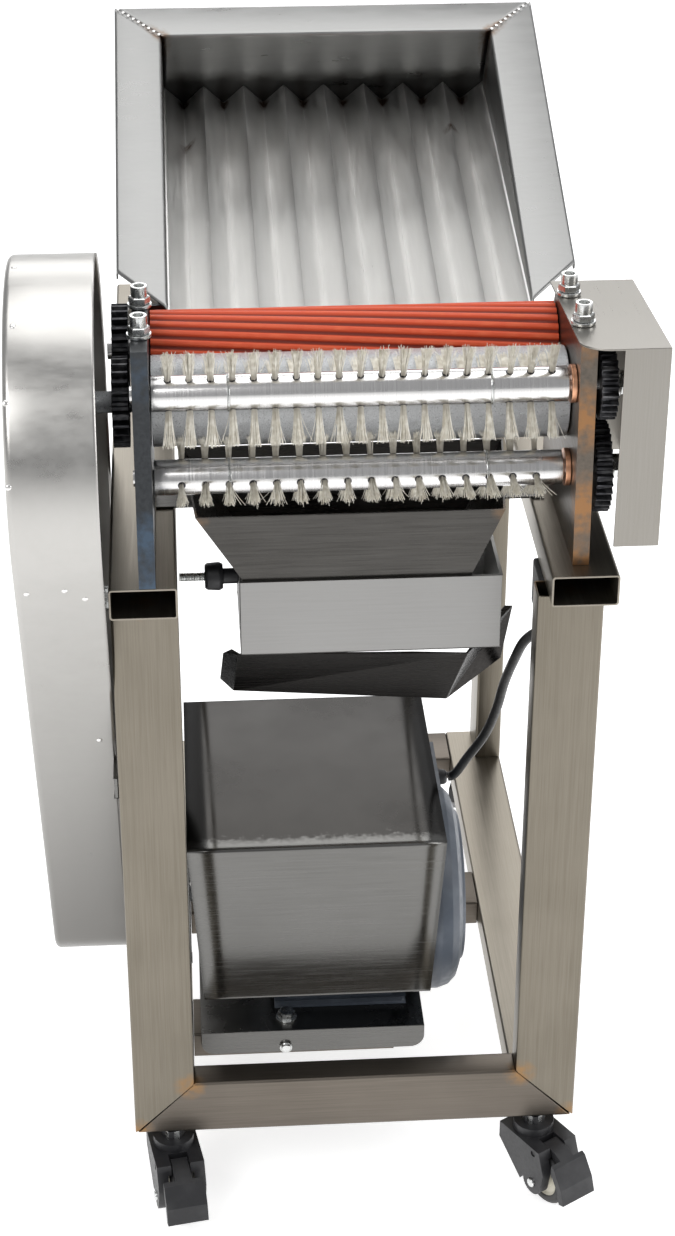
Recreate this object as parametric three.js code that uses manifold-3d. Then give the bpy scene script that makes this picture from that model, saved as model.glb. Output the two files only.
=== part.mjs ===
// Roller sheller for bean pods: tube frame on casters, side plates that carry a rubber roller,
// a knurled roller and two brush rollers, a corrugated feed tray, chutes, a foot mounted motor
// and a belt drive behind a guard.  Millimetres, +Z up, front towards -Y.

import * as THREE from 'three';
import { mergeVertices } from 'three/addons/utils/BufferGeometryUtils.js';
import Module from 'manifold-3d';

const wasm = await Module();
wasm.setup();

// ---------------------------------------------------------------- driving dimensions

const GAP = 0.3;                  // clearance between pieces that touch

const casterHeight = 80;
const frameWidth = 365;
const frameDepth = 565;
const frameHeight = 524;          // underside of the bottom frame to the top of the top rails
const tubeWide = 50;
const tubeThin = 25;
const tubeWall = 1.5;
const topRailFront = -17;         // how far the top rails stand out in front of the legs
const topRailOutset = 7.5;        // the right top rail stands this far outside its leg
const frontCrossRailY = 95;
const frontCrossRailEnd = 40;     // the front cross rail stops under the motor
const rearCrossRailY = 270;

const headCentre = 4.5;           // middle of the roller head, right of the frame's middle
const plateSetIn = 60;            // how much less the plates span than the frame is wide
const plateSpan = frameWidth - plateSetIn;
const plateThick = 12;
const plateFrontLeft = -17;
const plateFrontRight = 0;
const plateRear = 165;
const plateTopFront = 12;
const plateTopRear = 138;
const plateHeight = 173;          // above the top rails, at the front
const plateTopTilt = THREE.MathUtils.degToRad(5);
const plateRearShoulder = 45;     // how far the top rear corner is cut down

const rollerEndGap = 1;           // between a roller's end and its side plate
const rollerLength = plateSpan - 2 * rollerEndGap;
const knurledRadius = 33.5;
const knurledY = 72;
const knurledHeight = 108;        // axis above the top rails
const rubberRadius = 28;
const rubberAngle = THREE.MathUtils.degToRad(14.7);
const rubberLobes = 22;
const rubberLobeDepth = 2.2;
const rubberTwist = 0.7;
const rubberBore = 10;
const brushRadius = 13;
const brushReach = 41;            // axis to the bristle tips
const upperBrushAngle = THREE.MathUtils.degToRad(149.8);
const lowerBrushAngle = THREE.MathUtils.degToRad(233);
const journalRadius = 8;
const brushJournalRadius = 6;
const runClearance = 0.35;
const bristleRows = 3;
const upperRowAngle = THREE.MathUtils.degToRad(110);
const lowerRowAngle = THREE.MathUtils.degToRad(182);
const upperTuftPitch = 15.2;
const lowerTuftPitch = 17.2;
const tieOffset = 94;             // wire ties, from the middle of the roller

const rollerNip = 1;              // between the rubber and the knurled roller
const brushNip = 3.5;             // between the knurled roller and the upper brush's bar
const pairTeeth = 25;             // gears that join the rubber and knurled rollers
const pairModule = (knurledRadius + rubberRadius + rollerNip) / pairTeeth;
const knurledBrushTeeth = 25;     // gears that drive the brushes
const upperBrushTeeth = 25;
const brushModule = (2 * (knurledRadius + brushRadius + brushNip)) / (knurledBrushTeeth + upperBrushTeeth);
const lowerBrushTeeth = 32;
const gearWidth = 12;
const gearStandoff = 3.5;

const pulleyRadius = 92;
const motorPulleyRadius = 24;
const beltWidth = 10;
const beltDepth = 8;
const beltStandoff = 36.5;        // middle of the belt, outside the left legs
const beltCentre = -frameWidth / 2 - beltStandoff;

const motorY = 172;
const motorAxisHeight = 90;
const motorShaftRadius = 7;
const motorBodyRadius = 80;
const motorCowlRadius = 89;
const motorBodyLeft = -75;
const motorBodyRight = 66;
const motorCowlRight = 101;
const basePlateThick = 2.5;

const guardDrumY = 80;
const guardDrumZ = 680;
const guardDrumRadius = 135;
const guardFootRadius = 50;
const guardFootRise = 10;         // the guard's foot is centred this far above the motor shaft
const guardGap = 1.5;             // between the guard's open side and the left legs
const guardDeep = 64;
const guardInner = -frameWidth / 2 - guardGap;
const guardOuter = guardInner - guardDeep;
const sheet = 1.5;

const trayOverhang = 49;          // how much wider the tray is than the plates' span
const trayWidth = plateSpan + trayOverhang;
const trayLength = 364;
const trayRim = 39;
const trayInner = trayWidth - 2 * trayRim;
const trayTipGap = 2.55;          // from the back of the rubber roller to the tray's front edge
const trayTipRise = 18.14;        // the rim's front edge above the rubber roller's axis
const trayTilt = THREE.MathUtils.degToRad(21.5);
const trayFloorTilt = THREE.MathUtils.degToRad(-10.7);
const trayChannels = 8;
const trayChannelDepth = 22;
const trayCorner = 42;
const trayLip = 8;

// ---------------------------------------------------------------- derived places

const railBottom = casterHeight;
const railTop = casterHeight + tubeThin;
const legTop = casterHeight + frameHeight - tubeThin;
const topRailTop = casterHeight + frameHeight;
const half = frameWidth / 2;
const plateInnerLeft = headCentre - plateSpan / 2;
const plateInnerRight = headCentre + plateSpan / 2;
const plateOuterLeft = plateInnerLeft - plateThick;
const plateOuterRight = plateInnerRight + plateThick;
const plateBottom = topRailTop + GAP;
const knurledZ = topRailTop + knurledHeight;
const pairDistance = pairModule * pairTeeth;
const upperBrushDistance = brushModule * (knurledBrushTeeth + upperBrushTeeth) / 2;
const lowerBrushDistance = brushModule * (knurledBrushTeeth + lowerBrushTeeth) / 2;

const knurledAxis = { y: knurledY, z: knurledZ };
const rubberAxis = polar(knurledAxis, pairDistance, rubberAngle);
const upperBrushAxis = polar(knurledAxis, upperBrushDistance, upperBrushAngle);
const lowerBrushAxis = polar(knurledAxis, lowerBrushDistance, lowerBrushAngle);
const trayTipY = rubberAxis.y + rubberRadius + trayTipGap;
const trayTipZ = rubberAxis.z + trayTipRise;
const baseTop = railTop + GAP + basePlateThick;
const motorAxis = { y: motorY, z: baseTop + motorAxisHeight };

function polar(centre, distance, angle) {
  return { y: centre.y + distance * Math.cos(angle), z: centre.z + distance * Math.sin(angle) };
}

function plateTopAt(y) {
  return topRailTop + plateHeight - (y - plateTopFront) * Math.tan(plateTopTilt);
}

// ---------------------------------------------------------------- materials

function finish(colour, roughness, metalness) {
  return new THREE.MeshStandardMaterial({ color: colour, roughness, metalness });
}

const brushedSteel = finish(0xa7a49b, 0.38, 1.0);
const sheetSteel = finish(0xb3b1ab, 0.32, 1.0);
const darkSteel = finish(0x3b444b, 0.5, 1.0);
const scorchedSteel = finish(0x5a4a3a, 0.5, 1.0);
const polishedSteel = finish(0xd0d0cc, 0.15, 1.0);
const knurledSteel = finish(0xb9bdbf, 0.4, 1.0);
const blackGear = finish(0x17181a, 0.55, 0.6);
const zincPlate = finish(0xc4c8c4, 0.3, 1.0);
const orangeRubber = finish(0xc8401f, 0.6, 0.0);
const nylonBristle = finish(0xdedbca, 0.75, 0.0);
const bronze = finish(0xb9784a, 0.35, 1.0);
const castIron = finish(0x2f3234, 0.6, 0.8);
const beltRubber = finish(0x151515, 0.8, 0.0);
const motorPaint = finish(0x3c434d, 0.45, 0.3);
const blackPlastic = finish(0x121314, 0.45, 0.0);
const wheelTread = finish(0x1b1b1c, 0.6, 0.0);
const cableRubber = finish(0x0d0d0e, 0.6, 0.0);
const redPlastic = finish(0xb01e1a, 0.4, 0.0);

// ---------------------------------------------------------------- shape helpers

const AXES = {
  x: new THREE.Matrix4().makeBasis(
    new THREE.Vector3(0, 1, 0), new THREE.Vector3(0, 0, 1), new THREE.Vector3(1, 0, 0)),
  y: new THREE.Matrix4().makeBasis(
    new THREE.Vector3(0, 0, 1), new THREE.Vector3(1, 0, 0), new THREE.Vector3(0, 1, 0)),
  z: new THREE.Matrix4(),
};

// A profile whose plane is square to the axis: (y, z) for x, (z, x) for y, (x, y) for z.
function prism(shape, axis, from, length, curveSegments = 8) {
  const geometry = new THREE.ExtrudeGeometry(shape, { depth: length, bevelEnabled: false, curveSegments });
  geometry.translate(0, 0, from);
  return geometry.applyMatrix4(AXES[axis]);
}

function polygon(points) {
  return new THREE.Shape(points.map(([a, b]) => new THREE.Vector2(a, b)));
}

function box(x0, x1, y0, y1, z0, z1) {
  const geometry = new THREE.BoxGeometry(x1 - x0, y1 - y0, z1 - z0);
  return geometry.translate((x0 + x1) / 2, (y0 + y1) / 2, (z0 + z1) / 2);
}

// A turned piece about an axis along X: profile points are [x, radius].
function turnedX(profile, centre, segments = 20) {
  const points = profile.map(([x, radius]) => new THREE.Vector2(radius, x));
  const geometry = new THREE.LatheGeometry(points, segments);
  geometry.rotateZ(-Math.PI / 2);
  return geometry.translate(0, centre.y, centre.z);
}

function rodX(x0, x1, radius, centre, segments = 20) {
  return turnedX([[x0, 0], [x0, radius], [x1, radius], [x1, 0]], centre, segments);
}

function rodZ(x, y, z0, z1, radius, segments = 20) {
  const geometry = new THREE.CylinderGeometry(radius, radius, z1 - z0, segments);
  geometry.rotateX(Math.PI / 2);
  return geometry.translate(x, y, (z0 + z1) / 2);
}

function hexZ(x, y, z0, z1, acrossFlats) {
  return rodZ(x, y, z0, z1, acrossFlats / Math.sqrt(3), 6);
}

function roundedRect(width, height, radius) {
  const shape = new THREE.Shape();
  const a = width / 2;
  const b = height / 2;
  shape.moveTo(-a + radius, -b);
  shape.lineTo(a - radius, -b);
  shape.absarc(a - radius, -b + radius, radius, -Math.PI / 2, 0, false);
  shape.absarc(a - radius, b - radius, radius, 0, Math.PI / 2, false);
  shape.absarc(-a + radius, b - radius, radius, Math.PI / 2, Math.PI, false);
  shape.absarc(-a + radius, -b + radius, radius, Math.PI, 1.5 * Math.PI, false);
  return shape;
}

function tube(wide, high, axis, from, length) {
  const shape = roundedRect(wide, high, 2.5);
  shape.holes.push(roundedRect(wide - 2 * tubeWall, high - 2 * tubeWall, 1.2));
  return prism(shape, axis, from, length, 2);
}

// Eight corners, bottom ring then top ring, each ring anticlockwise seen from above.
function eightCorners(bottom, top) {
  const corners = [...bottom, ...top].flat();
  const faces = [
    0, 2, 1, 0, 3, 2, 4, 5, 6, 4, 6, 7,
    0, 1, 5, 0, 5, 4, 1, 2, 6, 1, 6, 5,
    2, 3, 7, 2, 7, 6, 3, 0, 4, 3, 4, 7,
  ];
  const geometry = new THREE.BufferGeometry();
  geometry.setAttribute('position', new THREE.Float32BufferAttribute(corners, 3));
  geometry.setIndex(faces);
  return geometry;
}

// The same four corners moved in by a wall thickness, at another height.
function inset(corners, wall, z) {
  const moves = [[1, 1], [-1, 1], [-1, -1], [1, -1]];
  return corners.map(([x, y], i) => [x + wall * moves[i][0], y + wall * moves[i][1], z]);
}

function ring(x0, x1, y0, y1, z) {
  return [[x0, y0, z], [x1, y0, z], [x1, y1, z], [x0, y1, z]];
}

function solid(geometry) {
  const bare = geometry.clone();
  bare.deleteAttribute('normal');
  bare.deleteAttribute('uv');
  const merged = mergeVertices(bare, 1e-4);
  return new wasm.Manifold(new wasm.Mesh({
    numProp: 3,
    vertProperties: new Float32Array(merged.attributes.position.array),
    triVerts: new Uint32Array(merged.index.array),
  }));
}

function surface(manifold) {
  const mesh = manifold.getMesh();
  const geometry = new THREE.BufferGeometry();
  geometry.setAttribute('position', new THREE.Float32BufferAttribute(mesh.vertProperties, 3));
  geometry.setIndex([...mesh.triVerts]);
  geometry.computeVertexNormals();
  return geometry;
}

function joined(...geometries) {
  const solids = geometries.map(solid);
  return surface(solids.slice(1).reduce((sum, next) => sum.add(next), solids[0]));
}

function cutBy(geometry, ...tools) {
  return surface(tools.map(solid).reduce((rest, tool) => rest.subtract(tool), solid(geometry)));
}

function common(a, b) {
  return surface(solid(a).intersect(solid(b)));
}

const machine = new THREE.Group();

function piece(name, geometry, material, parent = machine) {
  const mesh = new THREE.Mesh(geometry, material);
  mesh.name = name;
  parent.add(mesh);
  return mesh;
}

// ---------------------------------------------------------------- frame

const stemHoles = [];
const casterPlaces = {
  front_left: { x: -half + tubeWide / 2 + 6, y: tubeThin / 2, heading: -80, brake: true },
  front_right: { x: half - tubeWide / 2 - 6, y: tubeThin / 2, heading: -58, brake: true },
  rear_left: { x: -half + tubeWide / 2, y: frameDepth - tubeWide / 2, heading: 100, brake: false },
  rear_right: { x: half - tubeWide / 2, y: frameDepth - tubeWide / 2, heading: 75, brake: false },
};
const stemRadius = 5;

function makeFrame() {
  const mitre = tubeWide;
  for (const place of Object.values(casterPlaces)) {
    stemHoles.push(rodZ(place.x, place.y, railBottom - 5, railBottom + 10, stemRadius + GAP, 16));
  }
  for (const side of [-1, 1]) {
    const name = side < 0 ? 'left' : 'right';
    const middle = side * (half - tubeWide / 2);
    const legTube = tube(tubeWide, tubeThin, 'z', railBottom, legTop - GAP - railBottom);
    legTube.translate(middle, tubeThin / 2, 0);
    const outer = side * (half + 1);
    const inner = side * (half - mitre - 1);
    const keep = prism(polygon([
      [railBottom - 1 + GAP, outer], [railBottom + mitre + 1 + GAP, inner],
      [legTop + 1, inner], [legTop + 1, outer],
    ]), 'y', -1, tubeThin + 2);
    piece(`leg_front_${name}`, common(legTube, keep), brushedSteel);

    const rearLeg = tube(tubeThin, tubeWide, 'z', railTop + GAP, legTop - railTop - 2 * GAP);
    rearLeg.translate(side * (half - tubeThin / 2), frameDepth - tubeWide / 2, 0);
    piece(`leg_rear_${name}`, rearLeg, brushedSteel);

    const sideRail = tube(tubeThin, tubeWide, 'y', tubeThin + GAP, frameDepth - tubeThin - GAP);
    sideRail.translate(middle, 0, railBottom + tubeThin / 2);
    piece(`rail_bottom_${name}`, cutBy(sideRail, ...stemHoles), brushedSteel);

    const topMiddle = side * (half - tubeWide / 2) + (side > 0 ? topRailOutset : 0);
    const topRail = tube(tubeThin, tubeWide, 'y', topRailFront, frameDepth - topRailFront);
    topRail.translate(topMiddle, 0, legTop + tubeThin / 2);
    piece(`rail_top_${name}`, topRail, brushedSteel);
  }

  const frontTube = tube(tubeThin, tubeWide, 'x', -half, frameWidth);
  frontTube.translate(0, tubeThin / 2, railBottom + tubeWide / 2);
  const frontKeep = prism(polygon([
    [railBottom - 1, half - 1], [railBottom - 1, -half + 1],
    [railBottom + mitre + 1, -half + mitre + 1], [railBottom + mitre + 1, half - mitre - 1],
  ]), 'y', -1, tubeThin + 2);
  piece('rail_bottom_front', cutBy(common(frontTube, frontKeep), ...stemHoles), brushedSteel);

  const left = -half + tubeWide + GAP;
  const crossRails = {
    rail_bottom_rear: [frameDepth - tubeWide, -left],
    crossrail_front: [frontCrossRailY, frontCrossRailEnd],
    crossrail_rear: [rearCrossRailY, -left],
  };
  for (const [name, [y, right]] of Object.entries(crossRails)) {
    const rail = tube(tubeWide, tubeThin, 'x', left, right - left);
    rail.translate(0, y + tubeWide / 2, railBottom + tubeThin / 2);
    piece(name, rail, brushedSteel);
  }
}

// ---------------------------------------------------------------- casters

const wheelRadius = 25;
const wheelWidth = 18;
const wheelTrail = 24;
const forkWidth = 40;
const pedalWidth = 34;
const pedalArm = 14;
const pedalPin = 2.4;
const pedalPivot = { x: 24, z: 56 };

function makeCaster(name, place) {
  const group = new THREE.Group();
  group.position.set(place.x, place.y, 0);
  group.rotation.z = THREE.MathUtils.degToRad(place.heading);
  machine.add(group);

  const hoodTop = casterHeight - 19;
  const hoodShape = new THREE.Shape();
  hoodShape.moveTo(-20, hoodTop);
  hoodShape.lineTo(-20, hoodTop - 16);
  hoodShape.lineTo(wheelTrail - 15, 19);
  hoodShape.absarc(wheelTrail, wheelRadius, 11, Math.PI, 2 * Math.PI, false);
  hoodShape.lineTo(wheelTrail + 14, hoodTop - 20);
  hoodShape.lineTo(pedalPivot.x + 7, hoodTop);
  hoodShape.closePath();
  const hoodBody = prism(hoodShape, 'z', -forkWidth / 2, forkWidth, 6);
  hoodBody.rotateX(Math.PI / 2);
  const channel = wheelWidth / 2 + 2;
  const wheelSpace = box(-9, 60, -channel, channel, -1, hoodTop - 8);
  const swivelCap = rodZ(0, 0, hoodTop - 1, casterHeight - 11, 17, 20);
  const stem = rodZ(0, 0, casterHeight - 12, casterHeight + 18, stemRadius, 16);
  const nut = hexZ(0, 0, casterHeight - 12, casterHeight - 3, 17);
  const fork = joined(cutBy(hoodBody, wheelSpace), swivelCap, nut, stem);
  const axleHole = rodY(wheelTrail, wheelRadius, -forkWidth / 2 - 1, forkWidth / 2 + 1, 4 + GAP);
  const pedalHole = rodY(pedalPivot.x, pedalPivot.z, -forkWidth / 2 - 1, forkWidth / 2 + 1, pedalPin + GAP);
  const pedalSlot = box(pedalPivot.x - 7, 60, -pedalArm / 2 - 1, pedalArm / 2 + 1, 40, hoodTop + 0.5);
  const holes = place.brake ? [axleHole, pedalHole, pedalSlot] : [axleHole];
  piece(`caster_fork_${name}`, cutBy(fork, ...holes), blackPlastic, group);

  const wheel = turnedAboutY([
    [-forkWidth / 2 - 2, 0], [-forkWidth / 2 - 2, 4],
    [-wheelWidth / 2, 4], [-wheelWidth / 2, wheelRadius - 3],
    [-wheelWidth / 2 + 3, wheelRadius], [wheelWidth / 2 - 3, wheelRadius], [wheelWidth / 2, wheelRadius - 3],
    [wheelWidth / 2, 4], [forkWidth / 2 + 2, 4], [forkWidth / 2 + 2, 0],
  ], wheelTrail, wheelRadius, 20);
  piece(`caster_wheel_${name}`, wheel, wheelTread, group);

  if (place.brake) {
    makePedal(name, group);
  }
}

function makePedal(name, group) {
  const { x, z } = pedalPivot;
  const outline = polygon([
    [x - 4, z - 3], [x, z - 4], [x + 10, z - 4], [x + 19, z - 8], [x + 28, z - 21], [x + 32, z - 34],
    [x + 38, z - 32], [x + 34, z - 18], [x + 24, z - 2], [x + 12, z + 3], [x - 2, z + 4], [x - 4, z + 2],
  ]);
  const blank = (width) => prism(outline, 'z', -width / 2, width, 4).rotateX(Math.PI / 2);
  const toeSpace = box(x + 20, x + 60, -pedalWidth / 2, pedalWidth / 2, 0, 90);
  const pin = rodY(x, z, -forkWidth / 2 + 1, forkWidth / 2 - 1, pedalPin);
  const pedal = joined(blank(pedalArm), common(blank(pedalWidth), toeSpace), pin);
  piece(`caster_pedal_${name}`, pedal, blackPlastic, group);
}

function rodY(x, z, y0, y1, radius, segments = 16) {
  return turnedAboutY([[y0, 0], [y0, radius], [y1, radius], [y1, 0]], x, z, segments);
}

// A turned piece about an axis along Y: profile points are [y, radius].
function turnedAboutY(profile, x, z, segments) {
  const points = profile.map(([y, radius]) => new THREE.Vector2(radius, y));
  const geometry = new THREE.LatheGeometry(points, segments);
  return geometry.translate(x, 0, z);
}

// ---------------------------------------------------------------- head plates and bolts

const boltPlaces = [45, 115];
const boltRadius = 4;
const boltDepth = 18;

function makeSidePlate(name, x0, front, bores) {
  const outline = polygon([
    [front, plateBottom], [plateRear, plateBottom],
    [plateRear, plateTopAt(plateTopRear) - plateRearShoulder],
    [plateTopRear, plateTopAt(plateTopRear)], [plateTopFront, plateTopAt(plateTopFront)],
  ]);
  const blank = prism(outline, 'x', x0, plateThick);
  const holes = bores.map(([axis, radius]) => rodX(x0 - 1, x0 + plateThick + 1, radius, axis, 20));
  const x = x0 + plateThick / 2;
  const boltHoles = boltPlaces.map((y) =>
    rodZ(x, y, plateTopAt(y) - boltDepth - 2, plateTopAt(y) + 5, boltRadius + GAP, 12));
  piece(name, cutBy(blank, ...holes, ...boltHoles), name.endsWith('left') ? darkSteel : scorchedSteel);
}

function makeAdjustingBolt(name, x, y, seat) {
  const flange = rodZ(x, y, seat, seat + 2.5, 9, 20);
  const nut = hexZ(x, y, seat + 2, seat + 8, 14);
  const head = rodZ(x, y, seat + 7, seat + 16, 6.2, 16);
  const socket = hexZ(x, y, seat + 11, seat + 17, 7);
  const shank = rodZ(x, y, seat - boltDepth, seat + 3, boltRadius, 12);
  piece(name, cutBy(joined(flange, nut, head, shank), socket), zincPlate);
}

const bushOuter = 10;
const bushFlange = 14;

function makeHead() {
  const journal = journalRadius + runClearance;
  const brushJournal = brushJournalRadius + runClearance;
  const bushSeat = bushOuter + GAP;
  makeSidePlate('side_plate_left', plateOuterLeft, plateFrontLeft, [
    [knurledAxis, journal], [rubberAxis, journal],
    [upperBrushAxis, brushJournal], [lowerBrushAxis, brushJournal],
  ]);
  makeSidePlate('side_plate_right', plateInnerRight, plateFrontRight, [
    [knurledAxis, journal], [rubberAxis, journal],
    [upperBrushAxis, bushSeat], [lowerBrushAxis, bushSeat],
  ]);
  const bushes = { brush_bush_upper: upperBrushAxis, brush_bush_lower: lowerBrushAxis };
  for (const [name, axis] of Object.entries(bushes)) {
    const bore = brushJournal;
    const bush = turnedX([
      [plateInnerRight - GAP - 4, bore], [plateInnerRight - GAP - 4, bushFlange],
      [plateInnerRight - GAP, bushFlange], [plateInnerRight - GAP, bushOuter],
      [plateOuterRight, bushOuter], [plateOuterRight, bore], [plateInnerRight - GAP - 4, bore],
    ], axis);
    piece(name, bush, bronze);
  }
  boltPlaces.forEach((y, index) => {
    const where = index === 0 ? 'front' : 'rear';
    const seatLeft = plateTopAt(y - 9) + GAP;
    const seatRight = plateTopAt(y - 9) + sheet + 2 * GAP;
    makeAdjustingBolt(`adjust_bolt_left_${where}`, plateOuterLeft + plateThick / 2, y, seatLeft);
    makeAdjustingBolt(`adjust_bolt_right_${where}`, plateInnerRight + plateThick / 2, y, seatRight);
  });
}

// ---------------------------------------------------------------- rollers

const rollerLeft = headCentre - rollerLength / 2;
const rollerRight = headCentre + rollerLength / 2;
const gearLeftX0 = plateOuterLeft - gearStandoff - gearWidth;
const gearRightX0 = plateOuterRight + gearStandoff;
const gearRightX1 = gearRightX0 + gearWidth;
const bushGap = 5;                // room at the right for the flanges of the brush bushes

function makeRubberRoller() {
  const outline = [];
  const perLobe = 2;
  for (let i = 0; i < rubberLobes * perLobe; i += 1) {
    const angle = (2 * Math.PI * i) / (rubberLobes * perLobe);
    const dip = i % perLobe === 0 ? rubberLobeDepth : 0;
    const radius = rubberRadius - dip;
    outline.push(new THREE.Vector2(radius * Math.cos(angle), radius * Math.sin(angle)));
  }
  const shape = new THREE.Shape(outline);
  const bore = new THREE.Path();
  bore.absarc(0, 0, rubberBore + GAP, 0, 2 * Math.PI, true);
  shape.holes.push(bore);
  const geometry = new THREE.ExtrudeGeometry(shape, {
    depth: rollerLength, steps: 6, bevelEnabled: false, curveSegments: 16,
  });
  const position = geometry.attributes.position;
  for (let i = 0; i < position.count; i += 1) {
    const turn = rubberTwist * (position.getZ(i) / rollerLength);
    const x = position.getX(i);
    const y = position.getY(i);
    position.setX(i, x * Math.cos(turn) - y * Math.sin(turn));
    position.setY(i, x * Math.sin(turn) + y * Math.cos(turn));
  }
  geometry.applyMatrix4(AXES.x).translate(rollerLeft, rubberAxis.y, rubberAxis.z);
  piece('rubber_roller', geometry, orangeRubber);

  const shaft = turnedX([
    [gearLeftX0 - 4, 0], [gearLeftX0 - 4, journalRadius], [rollerLeft - 0.5, journalRadius],
    [rollerLeft - 0.5, rubberBore], [rollerRight + 0.5, rubberBore], [rollerRight + 0.5, journalRadius],
    [plateOuterRight + 3, journalRadius], [plateOuterRight + 3, 0],
  ], rubberAxis);
  piece('rubber_roller_shaft', shaft, polishedSteel);
}

function makeKnurledRoller() {
  const end = beltCentre - 16;
  const roller = turnedX([
    [end, 0], [end, journalRadius], [rollerLeft, journalRadius],
    [rollerLeft, knurledRadius - 1], [rollerLeft + 1, knurledRadius],
    [rollerRight - 1, knurledRadius], [rollerRight, knurledRadius - 1],
    [rollerRight, journalRadius], [gearRightX1 + 4, journalRadius], [gearRightX1 + 4, 0],
  ], knurledAxis, 36);
  piece('knurled_roller', roller, knurledSteel);
}

function makeBrush(name, axis, rowAngle, tuftPitch) {
  const bodyRight = rollerRight - bushGap;
  const shaft = turnedX([
    [plateOuterLeft - 2, 0], [plateOuterLeft - 2, brushJournalRadius], [rollerLeft, brushJournalRadius],
    [rollerLeft, brushRadius], [bodyRight, brushRadius], [bodyRight, brushJournalRadius],
    [gearRightX1 + 8, brushJournalRadius], [gearRightX1 + 8, 0],
  ], axis);
  piece(`${name}_shaft`, shaft, polishedSteel);

  const root = brushRadius + GAP;
  const strip = root + 2.2;
  const count = Math.floor((bodyRight - rollerLeft - 6) / tuftPitch);
  const middle = (rollerLeft + bodyRight) / 2;
  const start = middle - (count * tuftPitch) / 2;
  const comb = [[start, root]];
  for (let i = 0; i < count; i += 1) {
    const centre = start + (i + 0.5) * tuftPitch;
    comb.push([centre - 2.6, strip], [centre - 4.8, brushReach]);
    comb.push([centre + 4.8, brushReach], [centre + 2.6, strip]);
  }
  comb.push([start + count * tuftPitch, root]);
  const shape = polygon(comb.map(([x, radius]) => [radius, x]));
  const rows = [];
  for (let row = 0; row < bristleRows; row += 1) {
    const blade = prism(shape, 'y', -2.5, 5);
    blade.rotateX(rowAngle - Math.PI / 2 + (2 * Math.PI * row) / bristleRows);
    blade.translate(0, axis.y, axis.z);
    rows.push(blade);
  }
  const ties = [-tieOffset, tieOffset].map((offset) => turnedX([
    [middle + offset - 1.4, root], [middle + offset - 1.4, strip],
    [middle + offset + 1.4, strip], [middle + offset + 1.4, root], [middle + offset - 1.4, root],
  ], axis, 24));
  const knurledSpace = rodX(rollerLeft - 5, rollerRight + 5, knurledRadius + 2 * GAP, knurledAxis, 48);
  const shaftSpace = rodX(rollerLeft - 5, rollerRight + 5, root, axis, 24);
  const bristles = cutBy(joined(...rows, ...ties), knurledSpace, shaftSpace);
  piece(`${name}_bristles`, bristles, nylonBristle);
}

// ---------------------------------------------------------------- gears, pulleys and belt

// A spur gear about an axis along X; phase is the angle of the middle of one tooth.
function gear(x0, width, moduleSize, teeth, phase, bore, axis) {
  const pitchRadius = (moduleSize * teeth) / 2;
  const outer = pitchRadius + 0.85 * moduleSize;
  const root = pitchRadius - 1.15 * moduleSize;
  const step = (2 * Math.PI) / teeth;
  const points = [];
  for (let tooth = 0; tooth < teeth; tooth += 1) {
    const middle = phase + tooth * step;
    const corners = [[-0.30, root], [-0.11, outer], [0.11, outer], [0.30, root]];
    for (const [share, radius] of corners) {
      const angle = middle + share * step;
      points.push(new THREE.Vector2(radius * Math.cos(angle), radius * Math.sin(angle)));
    }
  }
  const shape = new THREE.Shape(points);
  const hole = new THREE.Path();
  hole.absarc(0, 0, bore, 0, 2 * Math.PI, true);
  shape.holes.push(hole);
  return prism(shape, 'x', x0, width, 10).translate(0, axis.y, axis.z);
}

function angleTo(from, to) {
  return Math.atan2(to.z - from.z, to.y - from.y);
}

function makeGears() {
  const bore = journalRadius + GAP;
  const brushBore = brushJournalRadius + GAP;
  const pairLine = angleTo(knurledAxis, rubberAxis);
  const halfTooth = Math.PI / pairTeeth;
  const pairGear = (phase, axis) => gear(gearLeftX0, gearWidth, pairModule, pairTeeth, phase, bore, axis);
  piece('gear_knurled', pairGear(pairLine, knurledAxis), blackGear);
  piece('gear_rubber', pairGear(pairLine + Math.PI + halfTooth, rubberAxis), blackGear);

  const upperLine = angleTo(knurledAxis, upperBrushAxis);
  const lowerLine = angleTo(knurledAxis, lowerBrushAxis);
  const brushGear = (teeth, phase, hole, axis) =>
    gear(gearRightX0, gearWidth, brushModule, teeth, phase, hole, axis);
  piece('gear_brush_drive', brushGear(knurledBrushTeeth, upperLine, bore, knurledAxis), blackGear);
  const upperPhase = upperLine + Math.PI + Math.PI / upperBrushTeeth;
  piece('gear_brush_upper', brushGear(upperBrushTeeth, upperPhase, brushBore, upperBrushAxis), blackGear);
  // The driving gear turned to its tooth nearest the line, and the lower gear turned to meet it.
  const offset = (lowerLine - upperLine) / ((2 * Math.PI) / knurledBrushTeeth);
  const share = offset - Math.round(offset);
  const lowerPhase = lowerLine + Math.PI + (share + 0.5) * ((2 * Math.PI) / lowerBrushTeeth);
  piece('gear_brush_lower', brushGear(lowerBrushTeeth, lowerPhase, brushBore, lowerBrushAxis), blackGear);
}

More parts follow.
